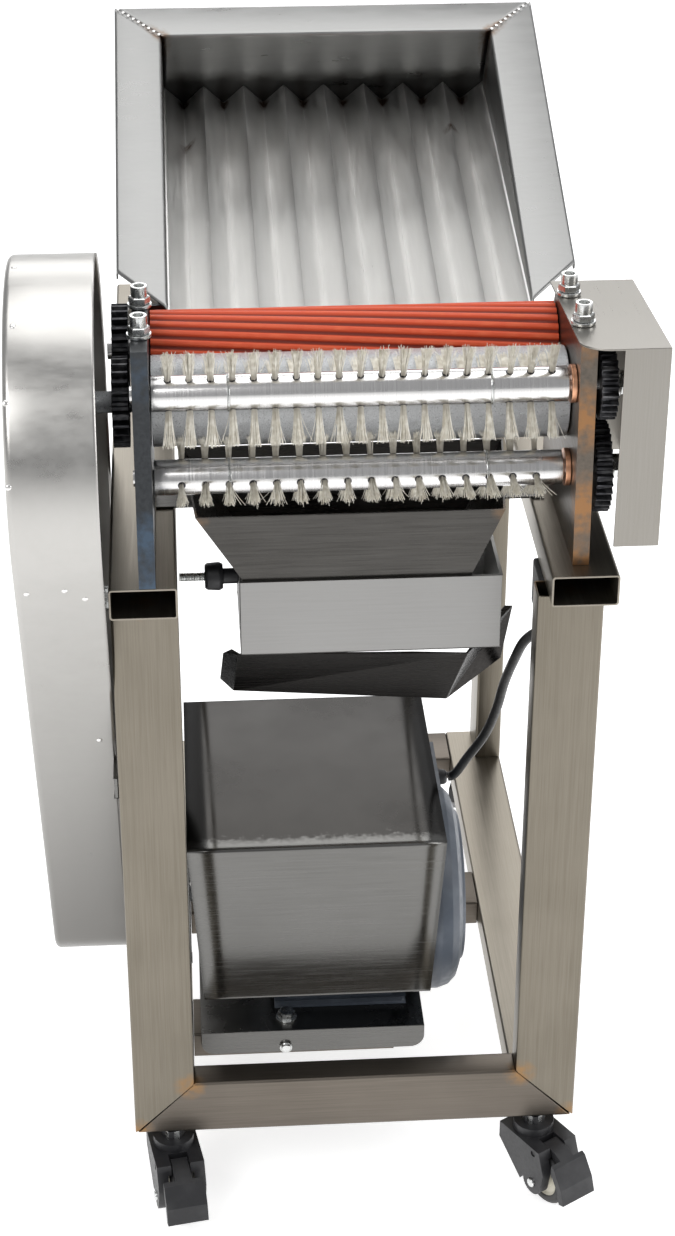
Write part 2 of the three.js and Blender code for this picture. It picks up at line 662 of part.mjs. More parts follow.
function pulley(axis, radius, bore, hubRadius) {
  const rim = radius - beltDepth - 1;
  const halfWidth = beltWidth / 2 + 3;
  const halfGroove = beltWidth / 2 + GAP;
  const dish = Math.max(hubRadius, rim - 9);
  const web = dish > hubRadius ? 4 : halfWidth;
  const profile = [
    [-halfWidth - 3, hubRadius], [-web, hubRadius], [-web, dish], [-halfWidth, dish], [-halfWidth, radius],
    [-halfGroove, radius], [-halfGroove, rim], [halfGroove, rim], [halfGroove, radius],
    [halfWidth, radius], [halfWidth, dish], [web, dish], [web, hubRadius], [halfWidth + 3, hubRadius],
  ];
  const ends = bore > 0 ? [[halfWidth + 3, bore], [-halfWidth - 3, bore], profile[0]] : [[halfWidth + 3, 0]];
  const start = bore > 0 ? [] : [[-halfWidth - 3, 0]];
  const points = [...start, ...profile, ...ends].map(([x, r]) => [beltCentre + x, r]);
  return turnedX(points, axis, radius > 50 ? 36 : 20);
}

// The outline round two circles and their outer tangents, as (y, z).
function beltShape(a, radiusA, b, radiusB, steps = 16) {
  const line = angleTo(a, b);
  const lean = Math.acos((radiusA - radiusB) / Math.hypot(b.y - a.y, b.z - a.z));
  const points = [];
  for (let i = 0; i <= steps; i += 1) {
    const angle = line + lean + ((2 * Math.PI - 2 * lean) * i) / steps;
    points.push(new THREE.Vector2(a.y + radiusA * Math.cos(angle), a.z + radiusA * Math.sin(angle)));
  }
  for (let i = 0; i <= steps; i += 1) {
    const angle = line - lean + (2 * lean * i) / steps;
    points.push(new THREE.Vector2(b.y + radiusB * Math.cos(angle), b.z + radiusB * Math.sin(angle)));
  }
  return new THREE.Shape(points);
}

function makeBeltDrive() {
  piece('drive_pulley', pulley(knurledAxis, pulleyRadius, journalRadius + GAP, 22), castIron);
  const rotor = rodX(beltCentre - 12, motorBodyLeft + 18, motorShaftRadius, motorAxis, 16);
  const small = pulley(motorAxis, motorPulleyRadius, 0, motorShaftRadius + 6);
  piece('motor_pulley', joined(small, rotor), castIron);
  const inset = beltDepth + 1 - 2 * GAP;
  const outside = beltShape(knurledAxis, pulleyRadius - 0.5, motorAxis, motorPulleyRadius - 0.5, 22);
  const inside = beltShape(knurledAxis, pulleyRadius - inset, motorAxis, motorPulleyRadius - inset, 22);
  const loop = cutBy(
    prism(outside, 'x', beltCentre - beltWidth / 2, beltWidth),
    prism(inside, 'x', beltCentre - beltWidth / 2 - 1, beltWidth + 2));
  piece('drive_belt', loop, beltRubber);
}

// ---------------------------------------------------------------- motor

const terminalBox = { x0: 14, x1: 84, y0: 208, y1: 262, z0: 250, z1: 286 };

function makeMotor() {
  const footTop = baseTop + 8;
  const finned = turnedX([
    [motorBodyLeft, 0], [motorBodyLeft, motorBodyRadius - 20], [motorBodyLeft + 8, motorBodyRadius],
    [motorBodyRight, motorBodyRadius], [motorBodyRight, 0],
  ], motorAxis, 36);
  const feet = [-1, 1].map((side) => box(
    motorBodyLeft + 15, motorBodyRight - 15,
    motorY + (side < 0 ? -82 : 45), motorY + (side < 0 ? -45 : 82), baseTop + GAP, footTop));
  const webs = [-1, 1].map((side) => box(
    motorBodyLeft + 25, motorBodyRight - 25,
    motorY + (side < 0 ? -66 : 52), motorY + (side < 0 ? -52 : 66), footTop - 1, motorAxis.z - 40));
  const box1 = box(terminalBox.x0, terminalBox.x1, terminalBox.y0 - 30, terminalBox.y1,
    terminalBox.z0 - 40, terminalBox.z1);
  const gland = rodX(terminalBox.x1 - 1, terminalBox.x1 + 12, 8,
    { y: (terminalBox.y0 + terminalBox.y1) / 2, z: (terminalBox.z0 + terminalBox.z1) / 2 }, 12);
  const shaftHole = rodX(motorBodyLeft - 1, motorBodyLeft + 20, motorShaftRadius + 2 * GAP, motorAxis, 16);
  const body = cutBy(joined(finned, ...feet, ...webs, box1, gland), shaftHole);
  piece('motor_body', body, motorPaint);

  const cowl = turnedX([
    [motorBodyRight - 12, motorBodyRadius + GAP], [motorBodyRight - 12, motorCowlRadius],
    [motorCowlRight - 22, motorCowlRadius], [motorCowlRight - 8, motorCowlRadius - 8],
    [motorCowlRight, motorCowlRadius - 24], [motorCowlRight, 0], [motorCowlRight - 2, 0],
    [motorCowlRight - 2, motorCowlRadius - 26], [motorCowlRight - 10, motorCowlRadius - 11],
    [motorCowlRight - 23, motorCowlRadius - 3], [motorBodyRight + GAP, motorCowlRadius - 3],
    [motorBodyRight + GAP, motorBodyRadius + GAP], [motorBodyRight - 12, motorBodyRadius + GAP],
  ], motorAxis, 36);
  const boxClear = box(terminalBox.x0 - 2, terminalBox.x1 + 16, terminalBox.y0 - 32, terminalBox.y1 + 2,
    terminalBox.z0 - 42, terminalBox.z1 + 2);
  piece('motor_cowl', cutBy(cowl, boxClear), motorPaint);

}

// ---------------------------------------------------------------- motor base and cover

const coverLeft = -133;
const coverRight = 80;
const coverTaper = 11;
const coverFront = 80;
const coverRear = 315;
const coverTop = 306;
const coverBottom = 152;
const baseFront = 92;
const baseRear = 320;
const baseLeft = -126;
const baseRight = 66;

function makeMotorBase() {
  const plate = box(baseLeft, baseRight, baseFront, baseRear, baseTop - basePlateThick, baseTop);
  const lipShape = new THREE.Shape();
  const low = baseTop - 23;
  const round = 12;
  lipShape.moveTo(baseTop, baseLeft);
  lipShape.lineTo(low + round, baseLeft);
  lipShape.absarc(low + round, baseLeft + round, round, -Math.PI / 2, -Math.PI, true);
  lipShape.lineTo(low, baseRight - round);
  lipShape.absarc(low + round, baseRight - round, round, Math.PI, Math.PI / 2, true);
  lipShape.lineTo(baseTop, baseRight);
  lipShape.closePath();
  const lip = prism(lipShape, 'y', baseFront, basePlateThick, 5);
  piece('motor_base', joined(plate, lip), sheetSteel);
}

function makeMotorCover() {
  const frontFace = polygon([
    [coverBottom, coverLeft + coverTaper], [coverTop, coverLeft],
    [coverTop, coverRight], [coverBottom, coverRight - coverTaper],
  ]);
  const front = prism(frontFace, 'y', coverFront, sheet);
  const top = box(coverLeft, coverRight, coverFront, coverRear, coverTop - sheet, coverTop);
  const rear = box(coverLeft, coverRight, coverRear - sheet, coverRear, baseTop + 50, coverTop);
  const stay = [coverLeft, coverRight - 40].map((x) => box(
    x, x + 40, coverRear - sheet, coverRear, baseTop + GAP, baseTop + 51));
  const hem = box(coverLeft + coverTaper, coverRight - coverTaper, coverFront, coverFront + 14,
    coverBottom, coverBottom + sheet);
  const flangeLeft = box(coverLeft, coverLeft + sheet,
    coverFront, coverFront + 16, coverBottom + 40, coverTop);
  piece('motor_cover', joined(front, top, rear, ...stay, hem, flangeLeft), sheetSteel);
}

// ---------------------------------------------------------------- guard and right cover

function makeBeltGuard() {
  const drum = { y: guardDrumY, z: guardDrumZ };
  const foot = { y: motorAxis.y, z: motorAxis.z + guardFootRise };
  const width = guardInner - guardOuter;
  const shell = cutBy(
    prism(beltShape(drum, guardDrumRadius, foot, guardFootRadius, 20), 'x', guardOuter, width),
    prism(beltShape(drum, guardDrumRadius - sheet, foot, guardFootRadius - sheet, 20), 'x',
      guardOuter + sheet, width));
  const wall = guardOuter + sheet / 2;
  const bosses = guardStandoffs.map((centre) => turnedX([
    [wall, 0], [wall, 5], [-half - GAP - 8, 5], [-half - GAP - 8, 9], [-half - GAP, 9], [-half - GAP, 0],
  ], centre, 12));
  const tab = box(-half - GAP - 3, -half - GAP, 4, 58, guardStandoffs[1].z - 9, guardStandoffs[1].z + 9);
  piece('belt_guard', joined(shell, ...bosses, tab), sheetSteel);
}

const guardStandoffs = [{ y: 2, z: 588 }, { y: 47, z: 420 }];

const rightCoverFront = -12;
const rightCoverRear = 150;
const rightCoverLeft = plateInnerRight - 3;
const rightCoverReach = 48;       // how far the cover stands out from the right plate
const rightCoverSide = plateOuterRight + rightCoverReach;
const rightCoverBottom = 625;
const rightCoverLip = 33;

function makeRightCover() {
  const tilt = Math.tan(plateTopTilt);
  const level = (y) => plateTopAt(y) + GAP;
  const profile = (bottomFront, bottomRear) => polygon([
    [rightCoverFront, bottomFront], [rightCoverRear, bottomRear],
    [rightCoverRear, level(rightCoverRear) + sheet], [rightCoverFront, level(rightCoverFront) + sheet],
  ]);
  const top = prism(profile(level(rightCoverFront), level(rightCoverRear)), 'x',
    rightCoverLeft, rightCoverSide - rightCoverLeft);
  const cornerRadius = 20;
  const cornerCut = cutBy(
    box(rightCoverLeft - 1, rightCoverLeft + cornerRadius,
      rightCoverFront - 1, rightCoverFront + cornerRadius, 700, 900),
    rodZ(rightCoverLeft + cornerRadius, rightCoverFront + cornerRadius, 690, 910, cornerRadius, 32));
  const side = prism(profile(rightCoverBottom, rightCoverBottom), 'x', rightCoverSide - sheet, sheet);
  const lip = box(rightCoverSide - rightCoverLip, rightCoverSide, rightCoverFront, rightCoverFront + sheet,
    rightCoverBottom, level(rightCoverFront) + sheet - tilt * sheet);
  const rearPanel = box(plateOuterRight + 2, rightCoverSide, rightCoverRear - sheet, rightCoverRear,
    rightCoverBottom, level(rightCoverRear) + sheet / 2);
  const holes = boltPlaces.map((y) => rodZ(
    plateInnerRight + plateThick / 2, y, 740, 820, boltRadius + GAP, 12));
  piece('brush_drive_cover', cutBy(joined(top, side, lip, rearPanel), cornerCut, ...holes), sheetSteel);
}

// ---------------------------------------------------------------- feed tray

function makeTray() {
  const group = new THREE.Group();
  group.position.set(headCentre, trayTipY, trayTipZ);
  group.rotation.x = trayTilt;
  machine.add(group);

  const w = trayWidth / 2;
  const i = trayInner / 2;
  const innerEnd = trayLength - (trayWidth - trayInner) / 2;
  const rimShape = polygon([
    [-i - 1, 0], [-i, 0], [-i, innerEnd], [i, innerEnd], [i, 0], [i + 1, 0],
    [w, trayCorner], [w, trayLength], [-w, trayLength], [-w, trayCorner],
  ]);
  const rim = prism(rimShape, 'z', 0, sheet);
  const lips = [
    box(-w, -w + sheet, trayCorner, trayLength, -trayLip, 0.5),
    box(w - sheet, w, trayCorner, trayLength, -trayLip, 0.5),
    box(-w, w, trayLength - sheet, trayLength, -trayLip, 0.5),
  ];

  const floorSlope = Math.tan(trayFloorTilt);
  const ridgeStart = -2.5;
  const floorEnd = 348;
  const ridgeAt = (y) => ridgeStart + y * floorSlope;
  const wallShape = polygon([
    [0, sheet / 2], [0, ridgeAt(0) - trayChannelDepth - sheet],
    [floorEnd, ridgeAt(floorEnd) - trayChannelDepth - sheet], [floorEnd, ridgeAt(floorEnd)],
    [innerEnd + sheet, sheet / 2],
  ]);
  const walls = [-i - sheet, i].map((x) => prism(wallShape, 'x', x, sheet));

  const pitch = trayInner / trayChannels;
  const upper = [];
  for (let n = 0; n <= 2 * trayChannels; n += 1) {
    const x = -i + (n * pitch) / 2;
    upper.push([x, n % 2 === 0 ? 0 : -trayChannelDepth]);
  }
  upper[0] = [-i - 0.7, 0];
  upper[upper.length - 1] = [i + 0.7, 0];
  const drop = sheet * 1.7;
  const zigzag = [...upper, ...upper.slice().reverse().map(([x, z]) => [x, z - drop])];
  const length = floorEnd / Math.cos(trayFloorTilt);
  const floor = prism(polygon(zigzag.map(([x, z]) => [z, x])), 'y', 0, length);
  floor.rotateX(trayFloorTilt).translate(0, 0, ridgeStart);

  const backFoot = ridgeAt(floorEnd) - trayChannelDepth - drop;
  const backShape = polygon([
    [innerEnd, sheet / 2], [innerEnd + sheet, sheet / 2],
    [floorEnd + sheet, backFoot], [floorEnd - 1, backFoot],
  ]);
  const back = prism(backShape, 'x', -i - sheet, trayInner + 2 * sheet);
  const behindBack = prism(polygon([
    [innerEnd + sheet, sheet / 2], [floorEnd + sheet, backFoot],
    [floorEnd + 30, backFoot], [floorEnd + 30, sheet / 2],
  ]), 'x', -i - 5, trayInner + 10);
  piece('feed_tray', joined(rim, ...lips, ...walls, cutBy(floor, behindBack), back), sheetSteel, group);
}

const traySupportY = 470;
const traySupportThick = 3;

function makeTraySupport() {
  const slope = Math.tan(trayTilt + trayFloorTilt);
  const startY = trayTipY + (2.5 + trayChannelDepth) * Math.sin(trayTilt);
  const startZ = trayTipZ - (2.5 + trayChannelDepth) * Math.cos(trayTilt);
  const top = startZ + (traySupportY - startY) * slope - sheet * 1.7 - 2;
  const outer = half - 8;
  const shape = polygon([
    [topRailTop + GAP, -outer], [top, -trayInner / 2 + headCentre], [top, trayInner / 2 + headCentre],
    [topRailTop + GAP, outer], [topRailTop + GAP, outer - 45], [top - 45, trayInner / 2 - 40],
    [top - 45, -trayInner / 2 + 40], [topRailTop + GAP, -outer + 45],
  ]);
  piece('tray_support', prism(shape, 'y', traySupportY, traySupportThick), sheetSteel);
}

// ---------------------------------------------------------------- chutes and sieve box

const hopperRise = 0.52;          // the hopper's upper edge stands this far above the bristles' lowest reach
const boxLeft = -86;
const boxRight = 114;
const boxFront = 60;
const boxRear = 160;
const boxTop = 565;
const boxBottom = 501.6;

function makeChutes() {
  const top = lowerBrushAxis.z - brushReach + hopperRise;
  const low = boxTop - 7;
  const outerTop = [[-118, 50, top], [113, 50, top], [126, 172, top], [-128, 172, top]];
  const outerLow = ring(boxLeft + 7, boxRight - 26, boxFront + 3.4, boxRear - 10, low);
  const hopper = cutBy(eightCorners(outerLow, outerTop),
    eightCorners(inset(outerLow, sheet, low - 0.1), inset(outerTop, sheet, top + 0.1)));
  const rest = topRailTop + GAP;
  const tabs = [[plateInnerLeft + 0.5, -110.8], [110, plateInnerRight - 6]].map(([x0, x1]) =>
    box(x0, x1, 110, 150, rest, rest + sheet));
  piece('hopper', joined(hopper, ...tabs), sheetSteel);

  const boxShell = cutBy(
    box(boxLeft, boxRight, boxFront, boxRear, boxBottom, boxTop),
    box(boxLeft + sheet, boxRight - sheet, boxFront + sheet, boxRear - sheet, boxBottom - 1, boxTop + 1));
  const knobHole = rodX(boxLeft - 1, boxLeft + 3, 4 + GAP, knobAxis, 12);
  piece('sieve_box', cutBy(boxShell, knobHole), sheetSteel);

  const stud = turnedX([
    [boxLeft - 46, 0], [boxLeft - 46, 3.4], [boxLeft - 26, 3.4], [boxLeft - 26, 10], [boxLeft - 12, 11],
    [boxLeft - 12, 6], [boxLeft - GAP, 6], [boxLeft - GAP, 4], [boxLeft + 2.5, 4], [boxLeft + 2.5, 0],
  ], knobAxis, 16);
  piece('box_knob', stud, blackPlastic);

  const foot = [[-92, 96, 448], [78, 96, 434], [124, 122, 455], [-127, 142, 460]];
  const rim = [[-88.5, 64, 500], [90, 64, 494.5], [132, 122, 503], [-130, 142, 505]];
  // The space inside runs past the rim, the foot and the open rear, along the lines of the walls.
  const past = (from, to, share) => from.map((value, i) => value + share * (value - to[i]));
  const openRear = ([frontLeft, frontRight, rearRight, rearLeft]) =>
    [frontLeft, frontRight, past(rearRight, frontRight, 0.2), past(rearLeft, frontLeft, 0.2)];
  const thin = (corners) => inset(corners, sheet, 0).map(([x, y], i) => [x, y, corners[i][2]]);
  const innerFoot = openRear(thin(foot));
  const innerRim = openRear(thin(rim));
  const below = innerFoot.map((corner, i) => past(corner, innerRim[i], 0.4));
  const above = innerRim.map((corner, i) => past(corner, innerFoot[i], 0.4));
  const chute = cutBy(eightCorners(foot, rim), eightCorners(below, above));
  piece('lower_chute', chute, sheetSteel);
}

const knobAxis = { y: 88, z: 556 };

// ---------------------------------------------------------------- motor lead and switch

const switchWidth = 40;
const switchInset = 5.5;          // from the outer side of the right front leg
const switchBox = {
  x0: half - switchInset - switchWidth, x1: half - switchInset,
  y0: tubeThin + GAP, y1: 62, z0: 541, z1: legTop - GAP,
};
const leadRadius = 4;

function makeSwitchAndLead() {
  const housing = box(switchBox.x0, switchBox.x1, switchBox.y0, switchBox.y1, switchBox.z0, switchBox.z1);
  const buttonX = (switchBox.x0 + switchBox.x1) / 2;
  const buttonZ = (switchBox.z0 + switchBox.z1) / 2;
  const pocket = rodY(buttonX, buttonZ, switchBox.y1 - 8, switchBox.y1 + 1, 9 + GAP);
  piece('switch_box', cutBy(housing, pocket), blackPlastic);
  piece('switch_button', rodY(buttonX, buttonZ, switchBox.y1 - 4, switchBox.y1 + 5, 9), redPlastic);

  const gland = {
    x: terminalBox.x1 + 12,
    y: (terminalBox.y0 + terminalBox.y1) / 2,
    z: (terminalBox.z0 + terminalBox.z1) / 2,
  };
  const route = new THREE.CatmullRomCurve3([
    new THREE.Vector3(gland.x + 3 * GAP, gland.y, gland.z),
    new THREE.Vector3(gland.x + 5, gland.y, gland.z + 1),
    new THREE.Vector3(111, 209, 305),
    new THREE.Vector3(121.5, 181, 345.5),
    new THREE.Vector3(126.5, 153, 388),
    new THREE.Vector3(128.5, 128, 428),
    new THREE.Vector3(132, 103, 464),
    new THREE.Vector3(137, 78, 497),
    new THREE.Vector3(149, 54, 522),
    new THREE.Vector3(buttonX, 45, switchBox.z0 - 8),
    new THREE.Vector3(buttonX, 44, switchBox.z0 - 2 * GAP),
  ], false, 'centripetal');
  const section = new THREE.Shape();
  section.absarc(0, 0, leadRadius, 0, 2 * Math.PI, false);
  const lead = new THREE.ExtrudeGeometry(section, {
    steps: 30, extrudePath: route, bevelEnabled: false, curveSegments: 4,
  });
  piece('motor_lead', lead, cableRubber);
}

// ---------------------------------------------------------------- assembly

makeFrame();
Object.entries(casterPlaces).forEach(([name, place]) => makeCaster(name, place));
makeHead();
makeRubberRoller();
makeKnurledRoller();
makeBrush('brush_upper', upperBrushAxis, upperRowAngle, upperTuftPitch);
makeBrush('brush_lower', lowerBrushAxis, lowerRowAngle, lowerTuftPitch);
makeGears();
makeBeltDrive();
makeMotor();
makeMotorBase();
makeMotorCover();
makeBeltGuard();
makeRightCover();
makeTray();
makeTraySupport();
makeChutes();
makeSwitchAndLead();

// The origin is on the floor, under the middle of the whole machine.
const extent = new THREE.Box3().setFromObject(machine, true);
machine.position.set(
  -(extent.min.x + extent.max.x) / 2, -(extent.min.y + extent.max.y) / 2, -extent.min.z);
machine.updateMatrixWorld(true);

export default machine;
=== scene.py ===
import math

import bmesh
import bpy
import numpy as np
from mathutils import Matrix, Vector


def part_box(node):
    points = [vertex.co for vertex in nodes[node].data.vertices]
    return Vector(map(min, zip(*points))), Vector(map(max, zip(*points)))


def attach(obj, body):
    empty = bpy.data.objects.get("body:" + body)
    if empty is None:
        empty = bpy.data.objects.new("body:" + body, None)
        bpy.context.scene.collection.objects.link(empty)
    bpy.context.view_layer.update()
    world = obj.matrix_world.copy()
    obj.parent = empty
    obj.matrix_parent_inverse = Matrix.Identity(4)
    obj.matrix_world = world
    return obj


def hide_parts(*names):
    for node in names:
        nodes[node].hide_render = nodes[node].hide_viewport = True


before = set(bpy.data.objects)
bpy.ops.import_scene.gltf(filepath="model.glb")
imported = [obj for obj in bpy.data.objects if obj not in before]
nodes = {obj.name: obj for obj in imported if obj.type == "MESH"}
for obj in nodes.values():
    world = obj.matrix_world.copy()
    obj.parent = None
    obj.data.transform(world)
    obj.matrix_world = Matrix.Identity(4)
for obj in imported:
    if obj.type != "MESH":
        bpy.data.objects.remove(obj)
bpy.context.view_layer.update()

# Drawing sizes below are in millimetres from the middle of the frame's front face, on the floor.
ZERO = np.array([
    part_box("side_plate_left")[0].x * 1000 + 160.0,
    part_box("side_plate_right")[0].y * 1000,
    0.0,
])

# Axes of the turning parts, as (y, z).
KNURLED = (72.0, 712.0)
RUBBER = (132.45, 727.86)
UPPER_BRUSH = (28.79, 737.15)
LOWER_BRUSH = (37.70, 666.48)
MOTOR = (172.0, 197.8)
KNOB = (88.0, 556.0)
BELT_X = -219.0
ROLLER_LEFT, ROLLER_RIGHT = -147.0, 156.0
SHEET = 1.5
TRAY_TILT = math.radians(21.5)
FLOOR_TILT = math.radians(-10.7)

# ---------------------------------------------------------------- camera


def place_camera():
    """A long lens in front of the head, a little to the left, looking down at the rollers."""
    right = (0.997909, -0.064622, 0.001489)
    up = (0.030703, 0.494141, 0.868840)
    back = (-0.056882, -0.866977, 0.495092)
    camera = bpy.data.objects.new("camera", bpy.data.cameras.new("camera"))
    bpy.context.scene.collection.objects.link(camera)
    turn = Matrix((right, up, back)).transposed().to_4x4()
    camera.matrix_world = Matrix.Translation((-0.10551, -1.87314, 1.48310)) @ turn
    camera.data.sensor_width = 36.0
    camera.data.lens = 73.237
    bpy.context.scene.camera = camera


# ---------------------------------------------------------------- mesh working


def grid_faces(rows, cols, wrap_rows=False, wrap_cols=False):
    """Quads between neighbours of a rows by cols grid; a wrapped side joins its last to its first."""
    i = np.arange(rows if wrap_rows else rows - 1)[:, None]
    j = np.arange(cols if wrap_cols else cols - 1)[None, :]
    k, m = (i + 1) % rows, (j + 1) % cols
    return np.stack([i * cols + j, i * cols + m, k * cols + m, k * cols + j], -1).reshape(-1, 4)


def shell_volume(points, faces, middle=0.0):
    """Six times the signed volume of a mesh: the sum of its corner triangles' products about a middle point."""
    points = points - middle
    total = 0.0
    for f in faces:
        for n in range(1, f.shape[1] - 1):
            total += np.einsum("ij,ij->", points[f[:, 0]], np.cross(points[f[:, n]], points[f[:, n + 1]]))
    return total


def turned_round(faces):
    """The same faces seen from their other side."""
    return [f[:, ::-1] for f in faces]


def outward(points, faces):
    """The same body with its faces turned outwards, so that its signed volume is positive."""
    return (points, turned_round(faces)) if shell_volume(points, faces) < 0 else (points, faces)


def facing(points, faces, pick, direction):
    """An open sheet's faces, turned so that the picked one looks along the direction."""
    a, b, c = points[faces[pick][:3]]
    return faces if np.dot(np.cross(b - a, c - a), direction) > 0 else faces[:, ::-1]


def together(*bodies):
    """Several bodies in one mesh, each with its faces outwards."""
    all_points, all_faces, first = [], [], 0
    for points, faces in bodies:
        points, faces = outward(points, faces)
        all_points.append(points)
        all_faces += [f + first for f in faces]
        first += len(points)
    return np.concatenate(all_points), all_faces


def loft(rings, close_ends=True, closed_loop=False):
    """Quads along a stack of equal rings (n, m, 3); flat faces close the first and the last ring."""
    n, m, _ = rings.shape
    faces = [grid_faces(n, m, closed_loop, True)]
    if close_ends and not closed_loop:
        faces.append(np.arange(m)[None, :])
        faces.append((np.arange(m) + (n - 1) * m)[None, ::-1])
    return rings.reshape(-1, 3), faces


def along(axis, first, u, v, centre=(0.0, 0.0)):
    """Points with first along the axis, and u, v across it, in the order of the other two axes."""
    first, u, v = np.broadcast_arrays(first, u, v)
    if axis == "x":
        return np.stack([first, u + centre[0], v + centre[1]], -1)
    if axis == "y":
        return np.stack([u + centre[0], first, v + centre[1]], -1)
    return np.stack([u + centre[0], v + centre[1], first], -1)


def eased(profile, radius, steps=3, closed=False):
    """A polyline whose corners are replaced by short parabolas that start radius before and after each one."""
    p = np.asarray(profile, float)
    before, after = np.roll(p, 1, 0), np.roll(p, -1, 0)
    reach_in = np.linalg.norm(before - p, axis=1)[:, None]
    reach_out = np.linalg.norm(after - p, axis=1)[:, None]
    r = np.minimum(radius, np.minimum(reach_in, reach_out) * 0.45)
    a = p + (before - p) / np.maximum(reach_in, 1e-9) * r
    c = p + (after - p) / np.maximum(reach_out, 1e-9) * r
    t = np.linspace(0, 1, steps + 1)[None, :, None]
    curve = (1 - t) ** 2 * a[:, None] + 2 * t * (1 - t) * p[:, None] + t ** 2 * c[:, None]
    if closed:
        return curve.reshape(-1, p.shape[1])
    return np.concatenate([p[:1], curve[1:-1].reshape(-1, p.shape[1]), p[-1:]])


def turned(profile, centre, axis="x", steps=48, ease=0.6, bore=False):
    """A turned body: the (along, radius) profile is swung round the axis; bore keeps a hole through it."""
    p = np.array(profile, float)
    if ease > 0:
        p = eased(p, ease, closed=bore)
    if not bore:
        p = np.concatenate([[[p[0, 0], 0.02]], p, [[p[-1, 0], 0.02]]])
    angle = np.linspace(0, 2 * np.pi, steps, endpoint=False)[None, :]
    rings = along(axis, p[:, :1], p[:, 1:] * np.cos(angle), p[:, 1:] * np.sin(angle), centre)
    return loft(rings, close_ends=not bore, closed_loop=bore)


def block(x0, x1, y0, y1, z0, z1):
    """A cut block between two corners, as a loft of its lower and upper rectangle."""
    ring = np.array([[x0, y0], [x1, y0], [x1, y1], [x0, y1]], float)
    rings = np.stack([np.c_[ring, np.full(4, z)] for z in (z0, z1)])
    return loft(rings)


def tube_along(path, radius, sides=12):
    """A round tube: a circle carried along the path, its first side vector carried on without twist."""
    path = np.asarray(path, float)
    tangent = np.gradient(path, axis=0)
    tangent /= np.linalg.norm(tangent, axis=1)[:, None]
    side = np.cross(tangent[0], (0.31, 0.2, 0.93))
    sides_at = []
    for t in tangent:
        side = side - t * np.dot(side, t)
        side = side / np.linalg.norm(side)
        sides_at.append(side)
    first = np.array(sides_at)
    second = np.cross(tangent, first)
    angle = np.linspace(0, 2 * np.pi, sides, endpoint=False)[None, :, None]
    rings = path[:, None] + radius * (np.cos(angle) * first[:, None] + np.sin(angle) * second[:, None])
    return loft(rings)


def smooth_path(corners, per_span=8):
    """A Catmull-Rom curve through the corners, with knots spaced by the square root of each chord."""
    p = np.asarray(corners, float)
    p = np.concatenate([[2 * p[0] - p[1]], p, [2 * p[-1] - p[-2]]])
    knots = np.concatenate([[0], np.cumsum(np.linalg.norm(np.diff(p, axis=0), axis=1) ** 0.5)])
    out = []
    for i in range(1, len(p) - 2):
        t = np.linspace(knots[i], knots[i + 1], per_span, endpoint=False)[:, None]
        k = knots[i - 1:i + 3]
        a = [((k[n + 1] - t) * p[i - 1 + n] + (t - k[n]) * p[i + n]) / (k[n + 1] - k[n]) for n in range(3)]
        b = [((k[n + 2] - t) * a[n] + (t - k[n]) * a[n + 1]) / (k[n + 2] - k[n]) for n in range(2)]
        out.append(((k[2] - t) * b[0] + (t - k[1]) * b[1]) / (k[2] - k[1]))
    return np.concatenate(out + [p[-2:-1]])


def tray_to_frame(points):
    """Tray drawing (across, up the tray, square to it) turned by the tray's tilt into the frame."""
    u, v, w = points[..., 0], points[..., 1], points[..., 2]
    c, s = math.cos(TRAY_TILT), math.sin(TRAY_TILT)
    return np.stack([4.5 + u, 163 + v * c - w * s, 746 + v * s + w * c], -1)


def make(name, body, material, solid, replace=(), angle=35.0, marks=None, lay=None):
    """One finished piece from drawing points and faces; marks is a value and lay a pair of values per point."""
    points, faces = solid
    mesh = bpy.data.meshes.new(name)
    sizes = np.concatenate([np.full(len(f), f.shape[1]) for f in faces])
    corners = np.concatenate([f.ravel() for f in faces]).astype(np.int32)
    mesh.vertices.add(len(points))
    mesh.vertices.foreach_set("co", ((points + ZERO) / 1000).astype(np.float32).ravel())
    mesh.loops.add(len(corners))
    mesh.loops.foreach_set("vertex_index", corners)
    mesh.polygons.add(len(sizes))
    mesh.polygons.foreach_set("loop_start", np.concatenate([[0], np.cumsum(sizes)[:-1]]).astype(np.int32))
    mesh.polygons.foreach_set("use_smooth", np.ones(len(sizes), bool))
    mesh.update(calc_edges=True)
    if marks is not None:
        layer = mesh.attributes.new("mark", "FLOAT", "POINT")
        layer.data.foreach_set("value", np.asarray(marks, np.float32))
    if lay is not None:
        layer = mesh.uv_layers.new(name="lay")
        layer.data.foreach_set("uv", np.asarray(lay, np.float32)[corners].ravel())
    mesh.validate()
    mesh.set_sharp_from_angle(angle=math.radians(angle))
    mesh.materials.append(material)
    piece = bpy.data.objects.new(name, mesh)
    bpy.context.scene.collection.objects.link(piece)
    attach(piece, body)
    if replace:
        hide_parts(*([replace] if isinstance(replace, str) else replace))
    return piece


def rounded_edges(piece, width, segments=2, angle=35.0):
    """A bevel in millimetres on the edges sharper than the angle."""
    bevel = piece.modifiers.new("edges", "BEVEL")
    bevel.width = width / 1000
    bevel.segments = segments
    bevel.limit_method = "ANGLE"
    bevel.angle_limit = math.radians(angle)
    return piece


def thick(piece, wall):
    """Gives an open sheet its wall, inwards from the drawn side."""
    solidify = piece.modifiers.new("wall", "SOLIDIFY")
    solidify.thickness = wall / 1000
    solidify.offset = -1.0
    solidify.use_even_offset = True
    return piece


